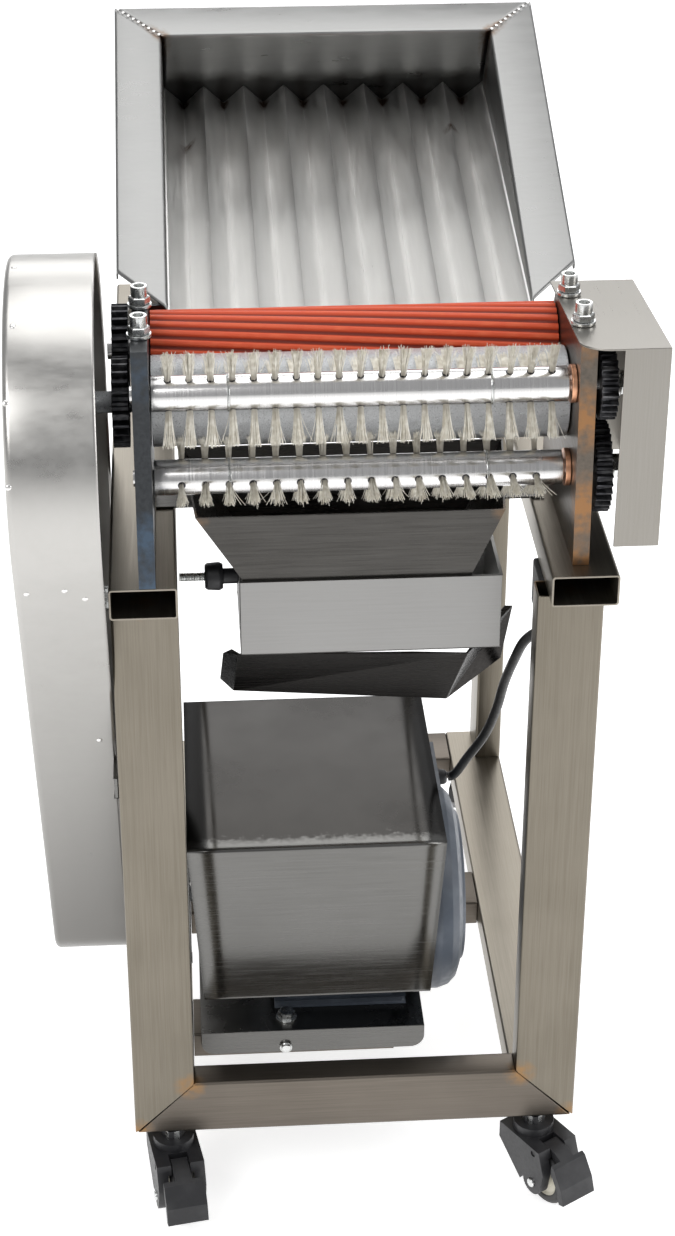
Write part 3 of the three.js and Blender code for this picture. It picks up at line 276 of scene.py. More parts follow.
def eased_part(node, body, material, width, segments=2):
    """The same cut part with its sharp edges broken: doubles merged, flat faces joined, edges bevelled."""
    work = bmesh.new()
    work.from_mesh(nodes[node].data)
    bmesh.ops.remove_doubles(work, verts=work.verts, dist=2e-6)
    bmesh.ops.dissolve_limit(work, angle_limit=math.radians(1.0), verts=work.verts, edges=work.edges)
    bmesh.ops.recalc_face_normals(work, faces=work.faces)
    mesh = bpy.data.meshes.new(node + "_eased")
    work.to_mesh(mesh)
    work.free()
    mesh.polygons.foreach_set("use_smooth", np.ones(len(mesh.polygons), bool))
    mesh.set_sharp_from_angle(angle=math.radians(30))
    mesh.materials.append(material)
    piece = bpy.data.objects.new(node + "_eased", mesh)
    bpy.context.scene.collection.objects.link(piece)
    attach(piece, body)
    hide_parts(node)
    return rounded_edges(piece, width, segments)


# ---------------------------------------------------------------- finishes


class Finish:
    """A node material around one Principled shader, with short calls for the nodes it uses."""

    def __init__(self, name, metal=0.0, colour=None, roughness=None, **sockets):
        self.material = bpy.data.materials.new(name)
        self.material.use_nodes = True
        self.tree = self.material.node_tree
        self.shader = self.tree.nodes["Principled BSDF"]
        self.shader.inputs["Metallic"].default_value = metal
        if colour is not None:
            self.shader.inputs["Base Color"].default_value = (*colour, 1.0)
        if roughness is not None:
            self.shader.inputs["Roughness"].default_value = roughness
        for key, value in sockets.items():
            self.shader.inputs[key.replace("_", " ")].default_value = value
        self.coords = self.tree.nodes.new("ShaderNodeTexCoord").outputs["Object"]

    def node(self, kind, **values):
        made = self.tree.nodes.new("ShaderNode" + kind)
        for key, value in values.items():
            setattr(made, key, value)
        return made

    def link(self, source, target):
        self.tree.links.new(source, target)

    def stretched(self, scale):
        made = self.node("Mapping")
        made.inputs["Scale"].default_value = scale
        self.link(self.coords, made.inputs["Vector"])
        return made.outputs["Vector"]

    def noise(self, scale, detail=3.0, vector=None, roughness=0.5):
        made = self.node("TexNoise")
        made.inputs["Scale"].default_value = scale
        made.inputs["Detail"].default_value = detail
        made.inputs["Roughness"].default_value = roughness
        self.link(vector or self.coords, made.inputs["Vector"])
        return made.outputs["Fac"]

    def between(self, value, low, high, to_low=0.0, to_high=1.0):
        made = self.node("MapRange")
        for key, number in (("From Min", low), ("From Max", high), ("To Min", to_low), ("To Max", to_high)):
            made.inputs[key].default_value = number
        self.link(value, made.inputs["Value"])
        return made.outputs["Result"]

    def sum(self, kind, a, b):
        made = self.node("Math", operation=kind)
        for socket, value in zip(made.inputs, (a, b)):
            if isinstance(value, (int, float)):
                socket.default_value = value
            else:
                self.link(value, socket)
        return made.outputs[0]

    def blend(self, factor, first, second):
        made = self.node("Mix", data_type="RGBA")
        self.link(factor, made.inputs["Factor"])
        for socket, value in ((made.inputs[6], first), (made.inputs[7], second)):
            if isinstance(value, tuple):
                socket.default_value = (*value, 1.0)
            else:
                self.link(value, socket)
        return made.outputs[2]

    def near(self, places, radius):
        """1 at any of the drawing places, falling to 0 at the radius in millimetres."""
        total = None
        for place in places:
            gap = self.node("VectorMath", operation="DISTANCE")
            gap.inputs[1].default_value = tuple((np.asarray(place, float) + ZERO) / 1000)
            self.link(self.coords, gap.inputs[0])
            share = self.between(gap.outputs["Value"], 0.0, radius / 1000, 1.0, 0.0)
            total = share if total is None else self.sum("MAXIMUM", total, share)
        return total

    def mark(self, name="mark"):
        made = self.node("Attribute", attribute_name=name)
        return made.outputs["Fac"]

    def colour(self, value):
        self.link(value, self.shader.inputs["Base Color"])

    def rough(self, value):
        self.link(value, self.shader.inputs["Roughness"])

    def bump(self, height, strength, distance):
        made = self.node("Bump")
        made.inputs["Strength"].default_value = strength
        made.inputs["Distance"].default_value = distance / 1000
        self.link(height, made.inputs["Height"])
        self.link(made.outputs["Normal"], self.shader.inputs["Normal"])


def brushed(name, dark, light, rough, grain, tints=(), stain_and_shade_tint=None, foot_shade=None):
    """Brushed stainless: fine noise drawn out along the grain for gloss and bump, slow noise for its tone.
    grain is the stretched noise scale on the three axes; each tint is (places, radius, colour, strength);
    the foot shade is (height where it is full, height where it ends, colour), a painted shade darker towards the
    foot of the sheet."""
    f = Finish(name, metal=1.0)
    lines = f.noise(1.0, 4.0, f.stretched(grain), 0.65)
    cloud = f.noise(9.0, 3.0)
    tone = f.sum("ADD", f.sum("MULTIPLY", lines, 0.55), f.sum("MULTIPLY", cloud, 0.45))
    colour = f.blend(f.between(tone, 0.22, 0.78), dark, light)
    for places, radius, tint, strength in tints:
        share = f.near(places, radius)
        ragged = f.sum("MULTIPLY", share, f.between(f.noise(160.0, 3.0), 0.3, 0.65, 0.35, 1.25))
        colour = f.blend(f.between(ragged, 0.1, 0.75, 0.0, strength), colour, tint)
    # The mark tint darkens where a piece's mark is high: brown burn marks on the tray sheets, and a painted
    # reflection of the dark hopper on the motor cover's top.
    if stain_and_shade_tint:
        wear_stain_and_shade = f.sum("MULTIPLY", f.mark(), f.between(f.noise(220.0, 4.0), 0.3, 0.7, 0.45, 1.2))
        colour = f.blend(f.between(wear_stain_and_shade, 0.12, 0.7, 0.0, 0.92), colour, stain_and_shade_tint)
    # Painted shade: darkens the sheet as its height falls towards the foot.
    if foot_shade:
        low, high, foot_shade_colour = foot_shade
        height = f.node("SeparateXYZ")
        f.link(f.coords, height.inputs["Vector"])
        colour = f.blend(f.between(height.outputs["Z"], low, high, 0.85, 0.0), colour, foot_shade_colour)
    f.colour(colour)
    f.rough(f.between(f.sum("ADD", lines, f.sum("MULTIPLY", cloud, 0.5)), 0.4, 1.1, rough - 0.07, rough + 0.12))
    f.bump(lines, 0.22, 0.05)
    return f.material


FRONT_CORNERS = [(-136, 0, 128), (136, 0, 128), (-180, 0, 82), (180, 0, 82)]
LEG_TOPS = [(-158, 8, 578), (158, 8, 578), (-134, 20, 578), (134, 20, 578)]
REAR_WELDS = [(40, 515, 103), (46, 520, 101), (33, 517, 104)]

# The legs, crossrails and side rails are one tube steel: the crossrails are painted darker than the legs, a painted
# shade, and the side rails lighter, a painted light.
tube_steel = brushed(
    "brushed_tube", (0.125, 0.11, 0.085), (0.25, 0.225, 0.185), 0.34, (900, 900, 14),
    [(FRONT_CORNERS, 17, (0.30, 0.17, 0.07), 0.75), (LEG_TOPS, 15, (0.33, 0.21, 0.12), 0.6)])
rail_across_shaded_steel = brushed(
    "brushed_rail_across_shaded", (0.10, 0.086, 0.072), (0.20, 0.176, 0.15), 0.34, (14, 900, 900),
    [(FRONT_CORNERS, 17, (0.30, 0.17, 0.07), 0.75), (REAR_WELDS, 13, (0.28, 0.15, 0.06), 0.9),
     ([(-77, 92, 130), (-60, 92, 104)], 8, (0.45, 0.36, 0.26), 0.5)])
rail_long_lit_steel = brushed(
    "brushed_rail_long_lit", (0.18, 0.16, 0.13), (0.36, 0.33, 0.28), 0.34, (900, 14, 900),
    [(LEG_TOPS, 15, (0.33, 0.21, 0.12), 0.6)])
sheet_steel = brushed("sheet_across", (0.34, 0.335, 0.32), (0.50, 0.495, 0.48), 0.30, (18, 700, 700))
cover_steel = brushed("cover_sheet", (0.12, 0.118, 0.112), (0.19, 0.187, 0.18), 0.25, (18, 18, 700))
# Painted reflection: the motor cover's top is darkened to near black through the mark, for the dark hopper it
# reflects.
motor_cover_steel = brushed(
    "motor_cover_sheet", (0.12, 0.118, 0.112), (0.19, 0.187, 0.18), 0.22, (18, 18, 700),
    stain_and_shade_tint=(0.022, 0.02, 0.018))
# The guard gets a painted shade towards its foot.
guard_steel = brushed(
    "guard_sheet", (0.44, 0.43, 0.41), (0.54, 0.53, 0.51), 0.30, (40, 160, 30),
    foot_shade=(0.2, 0.72, (0.14, 0.135, 0.127)))
right_cover_steel = brushed("right_cover_sheet", (0.24, 0.225, 0.20), (0.32, 0.305, 0.28), 0.30, (700, 18, 18))
# Painted shade: the hopper's sheet is painted near black for the shade inside and below it; its brown patches are
# burn marks.
hopper_shaded_steel = brushed(
    "chute_shaded_sheet", (0.032, 0.03, 0.028), (0.10, 0.096, 0.09), 0.26, (18, 500, 500),
    [([(-92, 92, 446), (78, 92, 432), (-118, 55, 624), (113, 55, 624)], 14, (0.2, 0.13, 0.08), 0.6)])
# Painted shade: the lower chute is in shadow, so its sheet is painted near black.
low_chute_shaded_steel = brushed("low_chute_shaded_sheet", (0.012, 0.011, 0.010), (0.045, 0.042, 0.04), 0.25, (18, 500, 500))
box_steel = brushed("sieve_sheet", (0.23, 0.226, 0.22), (0.31, 0.306, 0.298), 0.36, (16, 500, 500))
tray_steel = brushed(
    "tray_rim_sheet", (0.23, 0.23, 0.225), (0.31, 0.31, 0.305), 0.30, (26, 90, 90),
    stain_and_shade_tint=(0.15, 0.085, 0.045))
tray_floor_steel = brushed(
    "tray_floor_sheet", (0.66, 0.655, 0.64), (0.78, 0.775, 0.76), 0.33, (420, 20, 60),
    stain_and_shade_tint=(0.12, 0.06, 0.03))
plate_dark = brushed(
    "plate_dark", (0.035, 0.037, 0.04), (0.09, 0.095, 0.10), 0.36, (300, 60, 300),
    [([(-154, -17, 640), (-154, -17, 600), (-154, -10, 760)], 30, (0.10, 0.16, 0.24), 0.5)])
plate_scorched = brushed(
    "plate_scorched", (0.07, 0.062, 0.054), (0.20, 0.17, 0.14), 0.34, (300, 60, 300),
    [([(163, 0, 650), (163, 0, 600), (163, 0, 720), (163, 30, 780)], 34, (0.34, 0.17, 0.07), 0.8)])


def polished(name, colour, rough, scale):
    """Turned and polished: faint rings round the axis from noise drawn out across it."""
    f = Finish(name, metal=1.0)
    rings = f.noise(1.0, 3.0, f.stretched(scale), 0.6)
    low = tuple(c * 0.86 for c in colour)
    f.colour(f.blend(f.between(rings, 0.35, 0.65), low, colour))
    f.rough(f.between(rings, 0.3, 0.7, rough, rough + 0.14))
    f.bump(rings, 0.12, 0.03)
    return f.material


shaft_steel = polished("shaft_polished", (0.74, 0.73, 0.72), 0.14, (900, 8, 8))
zinc = polished("zinc_bright", (0.76, 0.77, 0.76), 0.2, (260, 260, 260))
bronze = polished("bush_bronze", (0.78, 0.42, 0.26), 0.26, (700, 12, 12))
iron = polished("pulley_iron", (0.20, 0.205, 0.21), 0.42, (300, 40, 40))


def gear_finish():
    """Blackened gear steel, brighter on worn flanks where slow noise is high."""
    f = Finish("gear_black", metal=1.0)
    cloud = f.noise(120.0, 4.0)
    f.colour(f.blend(f.between(cloud, 0.45, 0.75), (0.055, 0.055, 0.06), (0.20, 0.20, 0.205)))
    f.rough(f.between(cloud, 0.3, 0.7, 0.36, 0.55))
    f.bump(cloud, 0.2, 0.1)
    return f.material


def knurled_finish():
    """A fine diamond knurl: two families of slanted waves on the unrolled surface, the higher one kept."""
    f = Finish("knurled_bright", metal=1.0)
    lay = f.node("UVMap", uv_map="lay").outputs["UV"]
    height = None
    for slant in (0.55, -0.55):
        turn = f.node("Mapping")
        turn.inputs["Rotation"].default_value = (0, 0, slant)
        f.link(lay, turn.inputs["Vector"])
        wave = f.node("TexWave", wave_type="BANDS", bands_direction="X")
        wave.inputs["Scale"].default_value = 22.0
        wave.inputs["Distortion"].default_value = 0.6
        f.link(turn.outputs["Vector"], wave.inputs["Vector"])
        height = wave.outputs["Fac"] if height is None else f.sum("MINIMUM", height, wave.outputs["Fac"])
    speck = f.noise(900.0, 2.0)
    cloud = f.noise(14.0, 2.0)
    # Painted shade: the colour follows the knurl's height, darker in its grooves and lighter on its peaks.
    tone = f.sum("ADD", f.sum("MULTIPLY", height, 0.6), f.sum("MULTIPLY", speck, 0.5))
    colour = f.blend(f.between(tone, 0.2, 0.8), (0.44, 0.45, 0.46), (0.84, 0.85, 0.86))
    f.colour(f.blend(f.between(cloud, 0.5, 0.8, 0.0, 0.35), colour, (0.55, 0.56, 0.57)))
    f.rough(f.between(speck, 0.3, 0.7, 0.26, 0.42))
    f.bump(height, 0.55, 0.25)
    return f.material


def rubber_finish():
    """Orange-red rubber: the mark is 0 in a groove and 1 on a ridge; grooves are darker, a painted shade, and
    ridges are scuffed pale.
    """
    f = Finish("roller_rubber", Specular_IOR_Level=0.42)
    scuff = f.noise(90.0, 4.0)
    speck = f.noise(700.0, 2.0)
    # Painted shade: the grooves are darkened by the mark.
    colour = f.blend(f.between(f.mark(), 0.05, 0.6), (0.16, 0.018, 0.008), (0.60, 0.075, 0.022))
    wear_stain_and_shade = f.sum("MULTIPLY", f.between(scuff, 0.45, 0.75), f.between(f.mark(), 0.7, 1.0))
    f.colour(f.blend(f.sum("MULTIPLY", wear_stain_and_shade, 0.55), colour, (0.68, 0.15, 0.06)))
    f.rough(f.between(scuff, 0.3, 0.7, 0.42, 0.62))
    f.bump(speck, 0.25, 0.08)
    return f.material


def nylon_finish():
    """Off-white nylon filament, darker towards the root by the mark."""
    f = Finish("bristle_nylon", Subsurface_Weight=0.0)
    tone = f.noise(260.0, 3.0)
    colour = f.blend(f.between(tone, 0.35, 0.7), (0.60, 0.56, 0.47), (0.86, 0.835, 0.76))
    # Painted shade: the filaments darken towards their roots, inside the tuft.
    f.colour(f.blend(f.between(f.mark(), 0.0, 0.45, 0.7, 0.0), colour, (0.30, 0.27, 0.22)))
    f.rough(f.between(tone, 0.3, 0.7, 0.38, 0.55))
    return f.material


def plastic(name, dark, light, rough, grain=420.0, depth=0.06):
    """Moulded plastic: a fine spark-eroded grain, and slow noise for dust."""
    f = Finish(name)
    fine = f.noise(grain, 3.0)
    dust = f.noise(30.0, 4.0)
    f.colour(f.blend(f.between(dust, 0.45, 0.75), dark, light))
    f.rough(f.between(fine, 0.3, 0.7, rough - 0.06, rough + 0.1))
    f.bump(fine, 0.3, depth)
    return f.material


gear_black = gear_finish()
knurl = knurled_finish()
rubber = rubber_finish()
nylon = nylon_finish()
black_plastic = plastic("caster_plastic", (0.018, 0.018, 0.02), (0.05, 0.05, 0.052), 0.4)
box_plastic = plastic("switch_plastic", (0.02, 0.02, 0.022), (0.05, 0.05, 0.05), 0.46)
hub_plastic = plastic("hub_plastic", (0.62, 0.58, 0.47), (0.78, 0.75, 0.64), 0.5)
tread = plastic("wheel_tread", (0.025, 0.025, 0.026), (0.07, 0.068, 0.065), 0.6)
cable = plastic("cable_sheath", (0.012, 0.012, 0.012), (0.035, 0.035, 0.035), 0.45, 300.0)
belt_rubber = plastic("belt_rubber", (0.02, 0.02, 0.02), (0.055, 0.052, 0.05), 0.62)
red_plastic = plastic("button_plastic", (0.42, 0.03, 0.025), (0.56, 0.06, 0.05), 0.35)
enamel = plastic("motor_enamel", (0.075, 0.09, 0.115), (0.13, 0.15, 0.18), 0.4, 160.0, 0.12)
weld_metal = polished("weld_bead", (0.80, 0.79, 0.77), 0.24, (500, 500, 500))

# ---------------------------------------------------------------- tubes, plates and sheet parts

for node in ("leg_front_left", "leg_front_right", "leg_rear_left", "leg_rear_right"):
    eased_part(node, "frame", tube_steel, 1.6, 3)
for node in ("rail_bottom_front", "rail_bottom_rear", "crossrail_front", "crossrail_rear"):
    eased_part(node, "frame", rail_across_shaded_steel, 1.6, 3)
for node in ("rail_bottom_left", "rail_bottom_right", "rail_top_left", "rail_top_right"):
    eased_part(node, "frame", rail_long_lit_steel, 1.2, 3)
eased_part("side_plate_left", "frame", plate_dark, 0.9, 2)
eased_part("side_plate_right", "frame", plate_scorched, 0.9, 2)
for node, finish in (
        ("tray_support", sheet_steel), ("motor_base", cover_steel),
        ("hopper", hopper_shaded_steel), ("lower_chute", low_chute_shaded_steel),
        ("brush_drive_cover", right_cover_steel)):
    eased_part(node, "frame", finish, 0.45, 2)
eased_part("switch_box", "frame", box_plastic, 2.2, 3)
for node in ("brush_bush_upper", "brush_bush_lower"):
    eased_part(node, "frame", bronze, 0.5, 2)
for node, body in (
        ("gear_knurled", "knurled_shaft"), ("gear_brush_drive", "knurled_shaft"), ("gear_rubber", "rubber_shaft"),
        ("gear_brush_upper", "upper_brush"), ("gear_brush_lower", "lower_brush")):
    eased_part(node, body, gear_black, 0.25, 1)

# ---------------------------------------------------------------- rollers


def rubber_roller():
    """Radius is 28 less 2.2 in each of 22 grooves round the roller; the angle runs on with the length,
    so that each ridge is a long helix. The ridge is a flat-topped wave: a sine pushed through a tanh."""
    along_roller = np.linspace(ROLLER_LEFT, ROLLER_RIGHT, 61)[:, None]
    angle = np.linspace(0, 2 * np.pi, 22 * 12, endpoint=False)[None, :]
    twist = 0.7 * (along_roller - ROLLER_LEFT) / 303.0
    wave = np.tanh(2.2 * np.cos(22 * angle) + 0.5) * 0.5 + 0.5
    radius = 28.0 - 2.2 * (1 - wave)
    y, z = radius * np.cos(angle + twist), radius * np.sin(angle + twist)
    rings = along("x", along_roller, y, z, RUBBER)
    marks = np.broadcast_to(wave, rings.shape[:2]).copy()
    inner = [along("x", x, 10.4 * np.cos(angle), 10.4 * np.sin(angle), RUBBER)[0]
             for x in (ROLLER_LEFT, ROLLER_RIGHT)]
    rings = np.concatenate([inner[0][None], rings, inner[1][None]])
    marks = np.concatenate([marks[:1] * 0, marks, marks[:1] * 0])
    solid = outward(*loft(rings, close_ends=False, closed_loop=True))
    make("rubber_roller_ribbed", "rubber_shaft", rubber, solid, "rubber_roller",
         60.0, marks.ravel())


def knurled_roller():
    """A turned roller 33.5 in radius on 8 mm journals; lay unrolls it to (distance round, distance along)."""
    profile = eased([
        (-235, 8), (ROLLER_LEFT, 8), (ROLLER_LEFT, 33.5), (ROLLER_RIGHT, 33.5), (ROLLER_RIGHT, 8), (188.5, 8)], 0.9)
    profile = np.concatenate([[[-235, 0.02]], profile, [[188.5, 0.02]]])
    angle = np.linspace(0, 2 * np.pi, 97)[None, :]
    rings = along("x", profile[:, :1], profile[:, 1:] * np.cos(angle), profile[:, 1:] * np.sin(angle), KNURLED)
    lay = np.stack(np.broadcast_arrays(profile[:, :1] / 10, 33.5 * angle / 10), -1).reshape(-1, 2)
    points = rings.reshape(-1, 3)
    rows, cols = rings.shape[:2]
    faces = [grid_faces(rows, cols), ((np.arange(cols - 1))[None, :]),
             ((np.arange(cols - 1) + (rows - 1) * cols)[None, ::-1])]
    points[cols - 1::cols] = points[0::cols]
    make("knurled_roller_turned", "knurled_shaft", knurl, outward(points, faces), "knurled_roller",
         40.0, None, lay)


rubber_roller()
knurled_roller()
make("rubber_roller_spindle", "rubber_shaft", shaft_steel, outward(*turned([
    (-179.5, 8), (-147.5, 8), (-147.5, 10), (156.5, 10), (156.5, 8), (172, 8)], RUBBER)),
    "rubber_roller_shaft")

# ---------------------------------------------------------------- brushes


def brush_bar(node, body, centre):
    """A polished bar 13 in radius between 6 mm journals."""
    profile = [(-162, 6), (ROLLER_LEFT, 6), (ROLLER_LEFT, 13), (151, 13), (151, 6), (192.5, 6)]
    make(node + "_bar", body, shaft_steel, outward(*turned(profile, centre, steps=64)),
         node + "_shaft")


def brush_tufts(node, body, centre, row_angles, pitch, count, start, seed, per_tuft=52):
    """Three rows of filament tufts on a 13 mm bar. A filament leaves its hole square to the bar with its own
    lean, and its lean grows with the square of the distance; three flat sides taper to its tip.
    A filament that would enter the knurled roller is laid along the roller's surface instead."""
    rng = np.random.default_rng(seed)
    s = np.linspace(0, 1, 6)[None, :]
    centres = start + (np.arange(count) + 0.5) * pitch
    tuft_x = np.repeat(np.tile(centres, 3), per_tuft)
    tuft_angle = np.repeat(np.repeat(np.radians(row_angles), count), per_tuft)
    total = len(tuft_x)
    hole = rng.normal(0, 0.9, (total, 2)).clip(-1.9, 1.9)
    stray = rng.random(total) < 0.07
    lean_x = hole[:, 0] * 0.052 + rng.normal(0, 0.035, total) + np.where(stray, rng.normal(0, 0.14, total), 0)
    lean_t = hole[:, 1] * 0.022 + rng.normal(0, 0.035, total)
    length = 27.2 - rng.random(total) * 2.2
    out = 13.0 + length[:, None] * s * 0.99
    x = tuft_x[:, None] + hole[:, :1] + length[:, None] * lean_x[:, None] * s * (0.5 + 0.5 * s)
    side = hole[:, 1:] + length[:, None] * (lean_t[:, None] * s + 0.05 * s ** 2)
    ca, sa = np.cos(tuft_angle)[:, None], np.sin(tuft_angle)[:, None]
    y = centre[0] + out * ca - side * sa
    z = centre[1] + out * sa + side * ca
    dy, dz = y - KNURLED[0], z - KNURLED[1]
    gap = np.hypot(dy, dz)
    push = np.maximum(gap, 34.3) / gap
    spine = np.stack([x, KNURLED[0] + dy * push, KNURLED[1] + dz * push], -1)
    width = np.broadcast_to(0.42 - 0.2 * s, (total, 6))[..., None, None]
    corner = 2 * np.pi * np.arange(3) / 3
    over = np.stack([np.zeros_like(ca), -sa, ca], -1)[:, None]
    across = np.cos(corner)[None, None, :, None] * np.array([1.0, 0, 0]) \
        + np.sin(corner)[None, None, :, None] * over
    points = spine[:, :, None] + width * across
    cells = np.arange(total)[:, None, None] * 18
    faces = [(grid_faces(6, 3, False, True)[None] + cells).reshape(-1, 4),
             (np.array([[15, 16, 17]])[None] + cells).reshape(-1, 3),
             (np.array([[2, 1, 0]])[None] + cells).reshape(-1, 3)]
    points = points.reshape(-1, 3)
    if shell_volume(points[:18], [grid_faces(6, 3, False, True)], points[:18].mean(0)) < 0:
        faces = turned_round(faces)
    marks = np.broadcast_to(s[..., None], (total, 6, 3)).ravel()
    make(node + "_tufts", body, nylon, (points, faces), node + "_bristles", 60.0, marks)


def brush_root_shade_rims(node, body, centre, row_angles, pitch, count, start):
    """A dark ring round each tuft, a painted shade where the tuft enters the bar: a shallow ring that follows the
    bar at each hole.
    """
    centres = start + (np.arange(count) + 0.5) * pitch
    grid_x, grid_a = np.meshgrid(centres, np.radians(row_angles))
    x, a = grid_x.ravel()[:, None, None], grid_a.ravel()[:, None, None]
    turn = np.linspace(0, 2 * np.pi, 12, endpoint=False)[None, None, :]
    radius = np.array([3.0, 2.9, 2.1, 1.5])[None, :, None]
    lift = np.array([-0.35, 0.1, 0.14, 0.05])[None, :, None]
    du, dv = radius * np.cos(turn), radius * np.sin(turn)
    out = np.sqrt(13.0 ** 2 - dv ** 2) + lift
    y = centre[0] + out * np.cos(a) - dv * np.sin(a)
    z = centre[1] + out * np.sin(a) + dv * np.cos(a)
    points = np.stack(np.broadcast_arrays(x + du, y, z), -1).reshape(-1, 3)
    cells = np.arange(count * 3)[:, None, None] * 48
    faces = [(grid_faces(4, 12, False, True)[None] + cells).reshape(-1, 4),
             (np.stack([np.arange(12)[::-1], np.arange(12) + 36])[None] + cells).reshape(-1, 12)]
    if shell_volume(points[:48], [grid_faces(4, 12, False, True)], points[:48].mean(0)) < 0:
        faces = turned_round(faces)
    make(node + "_root_shade_rims", body, gear_black, (points, faces), ())


def wire_ties(node, body, centre):
    """Two turns of thin wire round the bar on each side of its middle: a circle drawn out along the bar."""
    bodies = []
    for offset in (-92.0, 96.0):
        turn = np.linspace(0, 4 * np.pi, 60)
        x = offset + (turn / (4 * np.pi) - 0.5) * 2.2
        path = np.c_[x, centre[0] + 13.7 * np.cos(turn), centre[1] + 13.7 * np.sin(turn)]
        bodies.append(tube_along(path, 0.55, 8))
    make(node + "_wire_ties", body, zinc, together(*bodies), ())


for node, body, centre, rows, pitch, count, start, seed in (
        ("brush_upper", "upper_brush", UPPER_BRUSH, (110, 230, 350), 15.2, 19, -142.4, 5),
        ("brush_lower", "lower_brush", LOWER_BRUSH, (182, 302, 62), 17.2, 16, -135.6, 9)):
    brush_bar(node, body, centre)
    brush_tufts(node, body, centre, rows, pitch, count, start, seed)
    brush_root_shade_rims(node, body, centre, rows, pitch, count, start)
    wire_ties(node, body, centre)

# ---------------------------------------------------------------- bolts and nuts


def bolt_top(x, y, seat):
    """A washer, a chamfered hexagon nut and a round socket head, turned about an upright axis at the seat."""
    centre = (x, y)
    washer = turned([(seat, 4.2), (seat, 9), (seat + 2.4, 9), (seat + 2.4, 4.2)], centre, "z", 40, 0.4, True)
    nut = turned([(seat + 2.4, 4.2), (seat + 2.4, 7.0), (seat + 2.9, 8.05), (seat + 7.4, 8.05),
                  (seat + 8, 7.0), (seat + 8, 4.2)], centre, "z", 6, 0.0, True)
    head = turned([(seat - 18, 4), (seat + 8, 4), (seat + 8, 6.2), (seat + 16, 6.2), (seat + 16, 3.9),
                   (seat + 11, 3.7)], centre, "z", 40, 0.5)
    return together(washer, nut, head)


for side, x in (("left", -154.0), ("right", 163.0)):
    for where, y in (("front", 45.0), ("rear", 115.0)):
        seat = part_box(f"adjust_bolt_{side}_{where}")[1].z * 1000 - 16.0
        make(f"adjust_bolt_{side}_{where}_turned", "frame", zinc, bolt_top(x, y, seat),
             f"adjust_bolt_{side}_{where}", 30.0)


def side_nut(x0, x1, across, centre, stud=3.0):
    """A washer, nut and stud end on an axis along the rollers, from x0 out to x1."""
    step = (x1 - x0) / 4
    washer = turned([(x0, 0.5), (x0, across * 0.66), (x0 + step, across * 0.66), (x0 + step, 0.5)],
                    centre, "x", 32, 0.2)
    nut = turned([(x0 + step, 0.5), (x0 + step, across * 0.5), (x0 + step * 1.4, across * 0.577),
                  (x0 + step * 3.2, across * 0.577), (x0 + step * 3.6, across * 0.5), (x0 + step * 3.6, 0.5)],
                 centre, "x", 6, 0.0)
    end = turned([(x0 + step, 0.5), (x0 + step, stud), (x1, stud), (x1, 0.5)], centre, "x", 24, 0.4)
    return together(washer, nut, end)


make("upper_brush_end_nut", "upper_brush", zinc, side_nut(186, 196, 15, UPPER_BRUSH, 5.5), (), 30.0)
make("lower_brush_end_nut", "lower_brush", zinc, side_nut(186, 196, 15, LOWER_BRUSH, 5.5), (), 30.0)
make("knurled_end_washer", "knurled_shaft", zinc, outward(*turned(
    [(185, 8.1), (185, 13), (187, 13), (187, 8.1)], KNURLED, "x", 32, 0.3, True)), (), 30.0)
make("pulley_end_nut", "knurled_shaft", zinc, outward(*turned(
    [(-233, 8.1), (-233, 11.6), (-232, 12.7), (-230.6, 12.7), (-230.2, 11.6), (-230.2, 8.1)],
    KNURLED, "x", 6, 0.0, True)), (), 30.0)


def upright_screw(x, y, z, across, head, washer):
    """A washer and a hexagon head with a turned chamfer, standing on a flat face."""
    disc = turned([(z, 0.5), (z, washer), (z + 1.4, washer), (z + 1.4, 0.5)], (x, y), "z", 32, 0.2)
    hexagon = turned([(z + 1.4, 0.5), (z + 1.4, across * 0.577), (z + head, across * 0.577),
                      (z + head + 0.6, across * 0.5), (z + head + 0.6, 0.5)], (x, y), "z", 6, 0.0)
    return together(disc, hexagon)


base_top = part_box("motor_base")[1].z * 1000
make("base_bolt_front", "frame", zinc, upright_screw(-52, 110, base_top, 13, 6.5, 9), (), 30.0)
make("base_bolts_rear", "frame", zinc, together(
    upright_screw(-52, 300, base_top, 13, 6.5, 9), upright_screw(48, 300, base_top, 13, 6.5, 9)), (), 30.0)
make("base_lip_screw", "frame", zinc, outward(*turned(
    [(88.2, 0.5), (88.2, 3.4), (89.6, 5.4), (92.0, 5.4), (92.0, 0.5)], (-53.5, 90.8), "y", 32, 0.3)),
    (), 30.0)

# ---------------------------------------------------------------- belt drive


def pulley_profile(radius, hub, dish, web):
    """Section of a flanged pulley at the belt's middle: hub, web, rim and a flat-floored groove 9 deep."""
    x = BELT_X
    return [(x - 11, hub), (x - web, hub), (x - web, dish), (x - 8, dish), (x - 8, radius), (x - 5.3, radius),
            (x - 4.6, radius - 9), (x + 4.6, radius - 9), (x + 5.3, radius), (x + 8, radius), (x + 8, dish),
            (x + web, dish), (x + web, hub), (x + 11, hub)]


make("drive_pulley_turned", "knurled_shaft", iron, outward(*turned(
    pulley_profile(92, 22, 74, 4) + [(BELT_X + 11, 8.2), (BELT_X - 11, 8.2)], KNURLED, "x", 96, 0.5, True)),
    "drive_pulley")
make("motor_pulley_turned", "motor_rotor", iron, together(
    turned(pulley_profile(24, 13, 15, 8), MOTOR, "x", 56, 0.4),
    turned([(-231, 7), (-57, 7)], MOTOR, "x", 32, 0.5)), "motor_pulley")


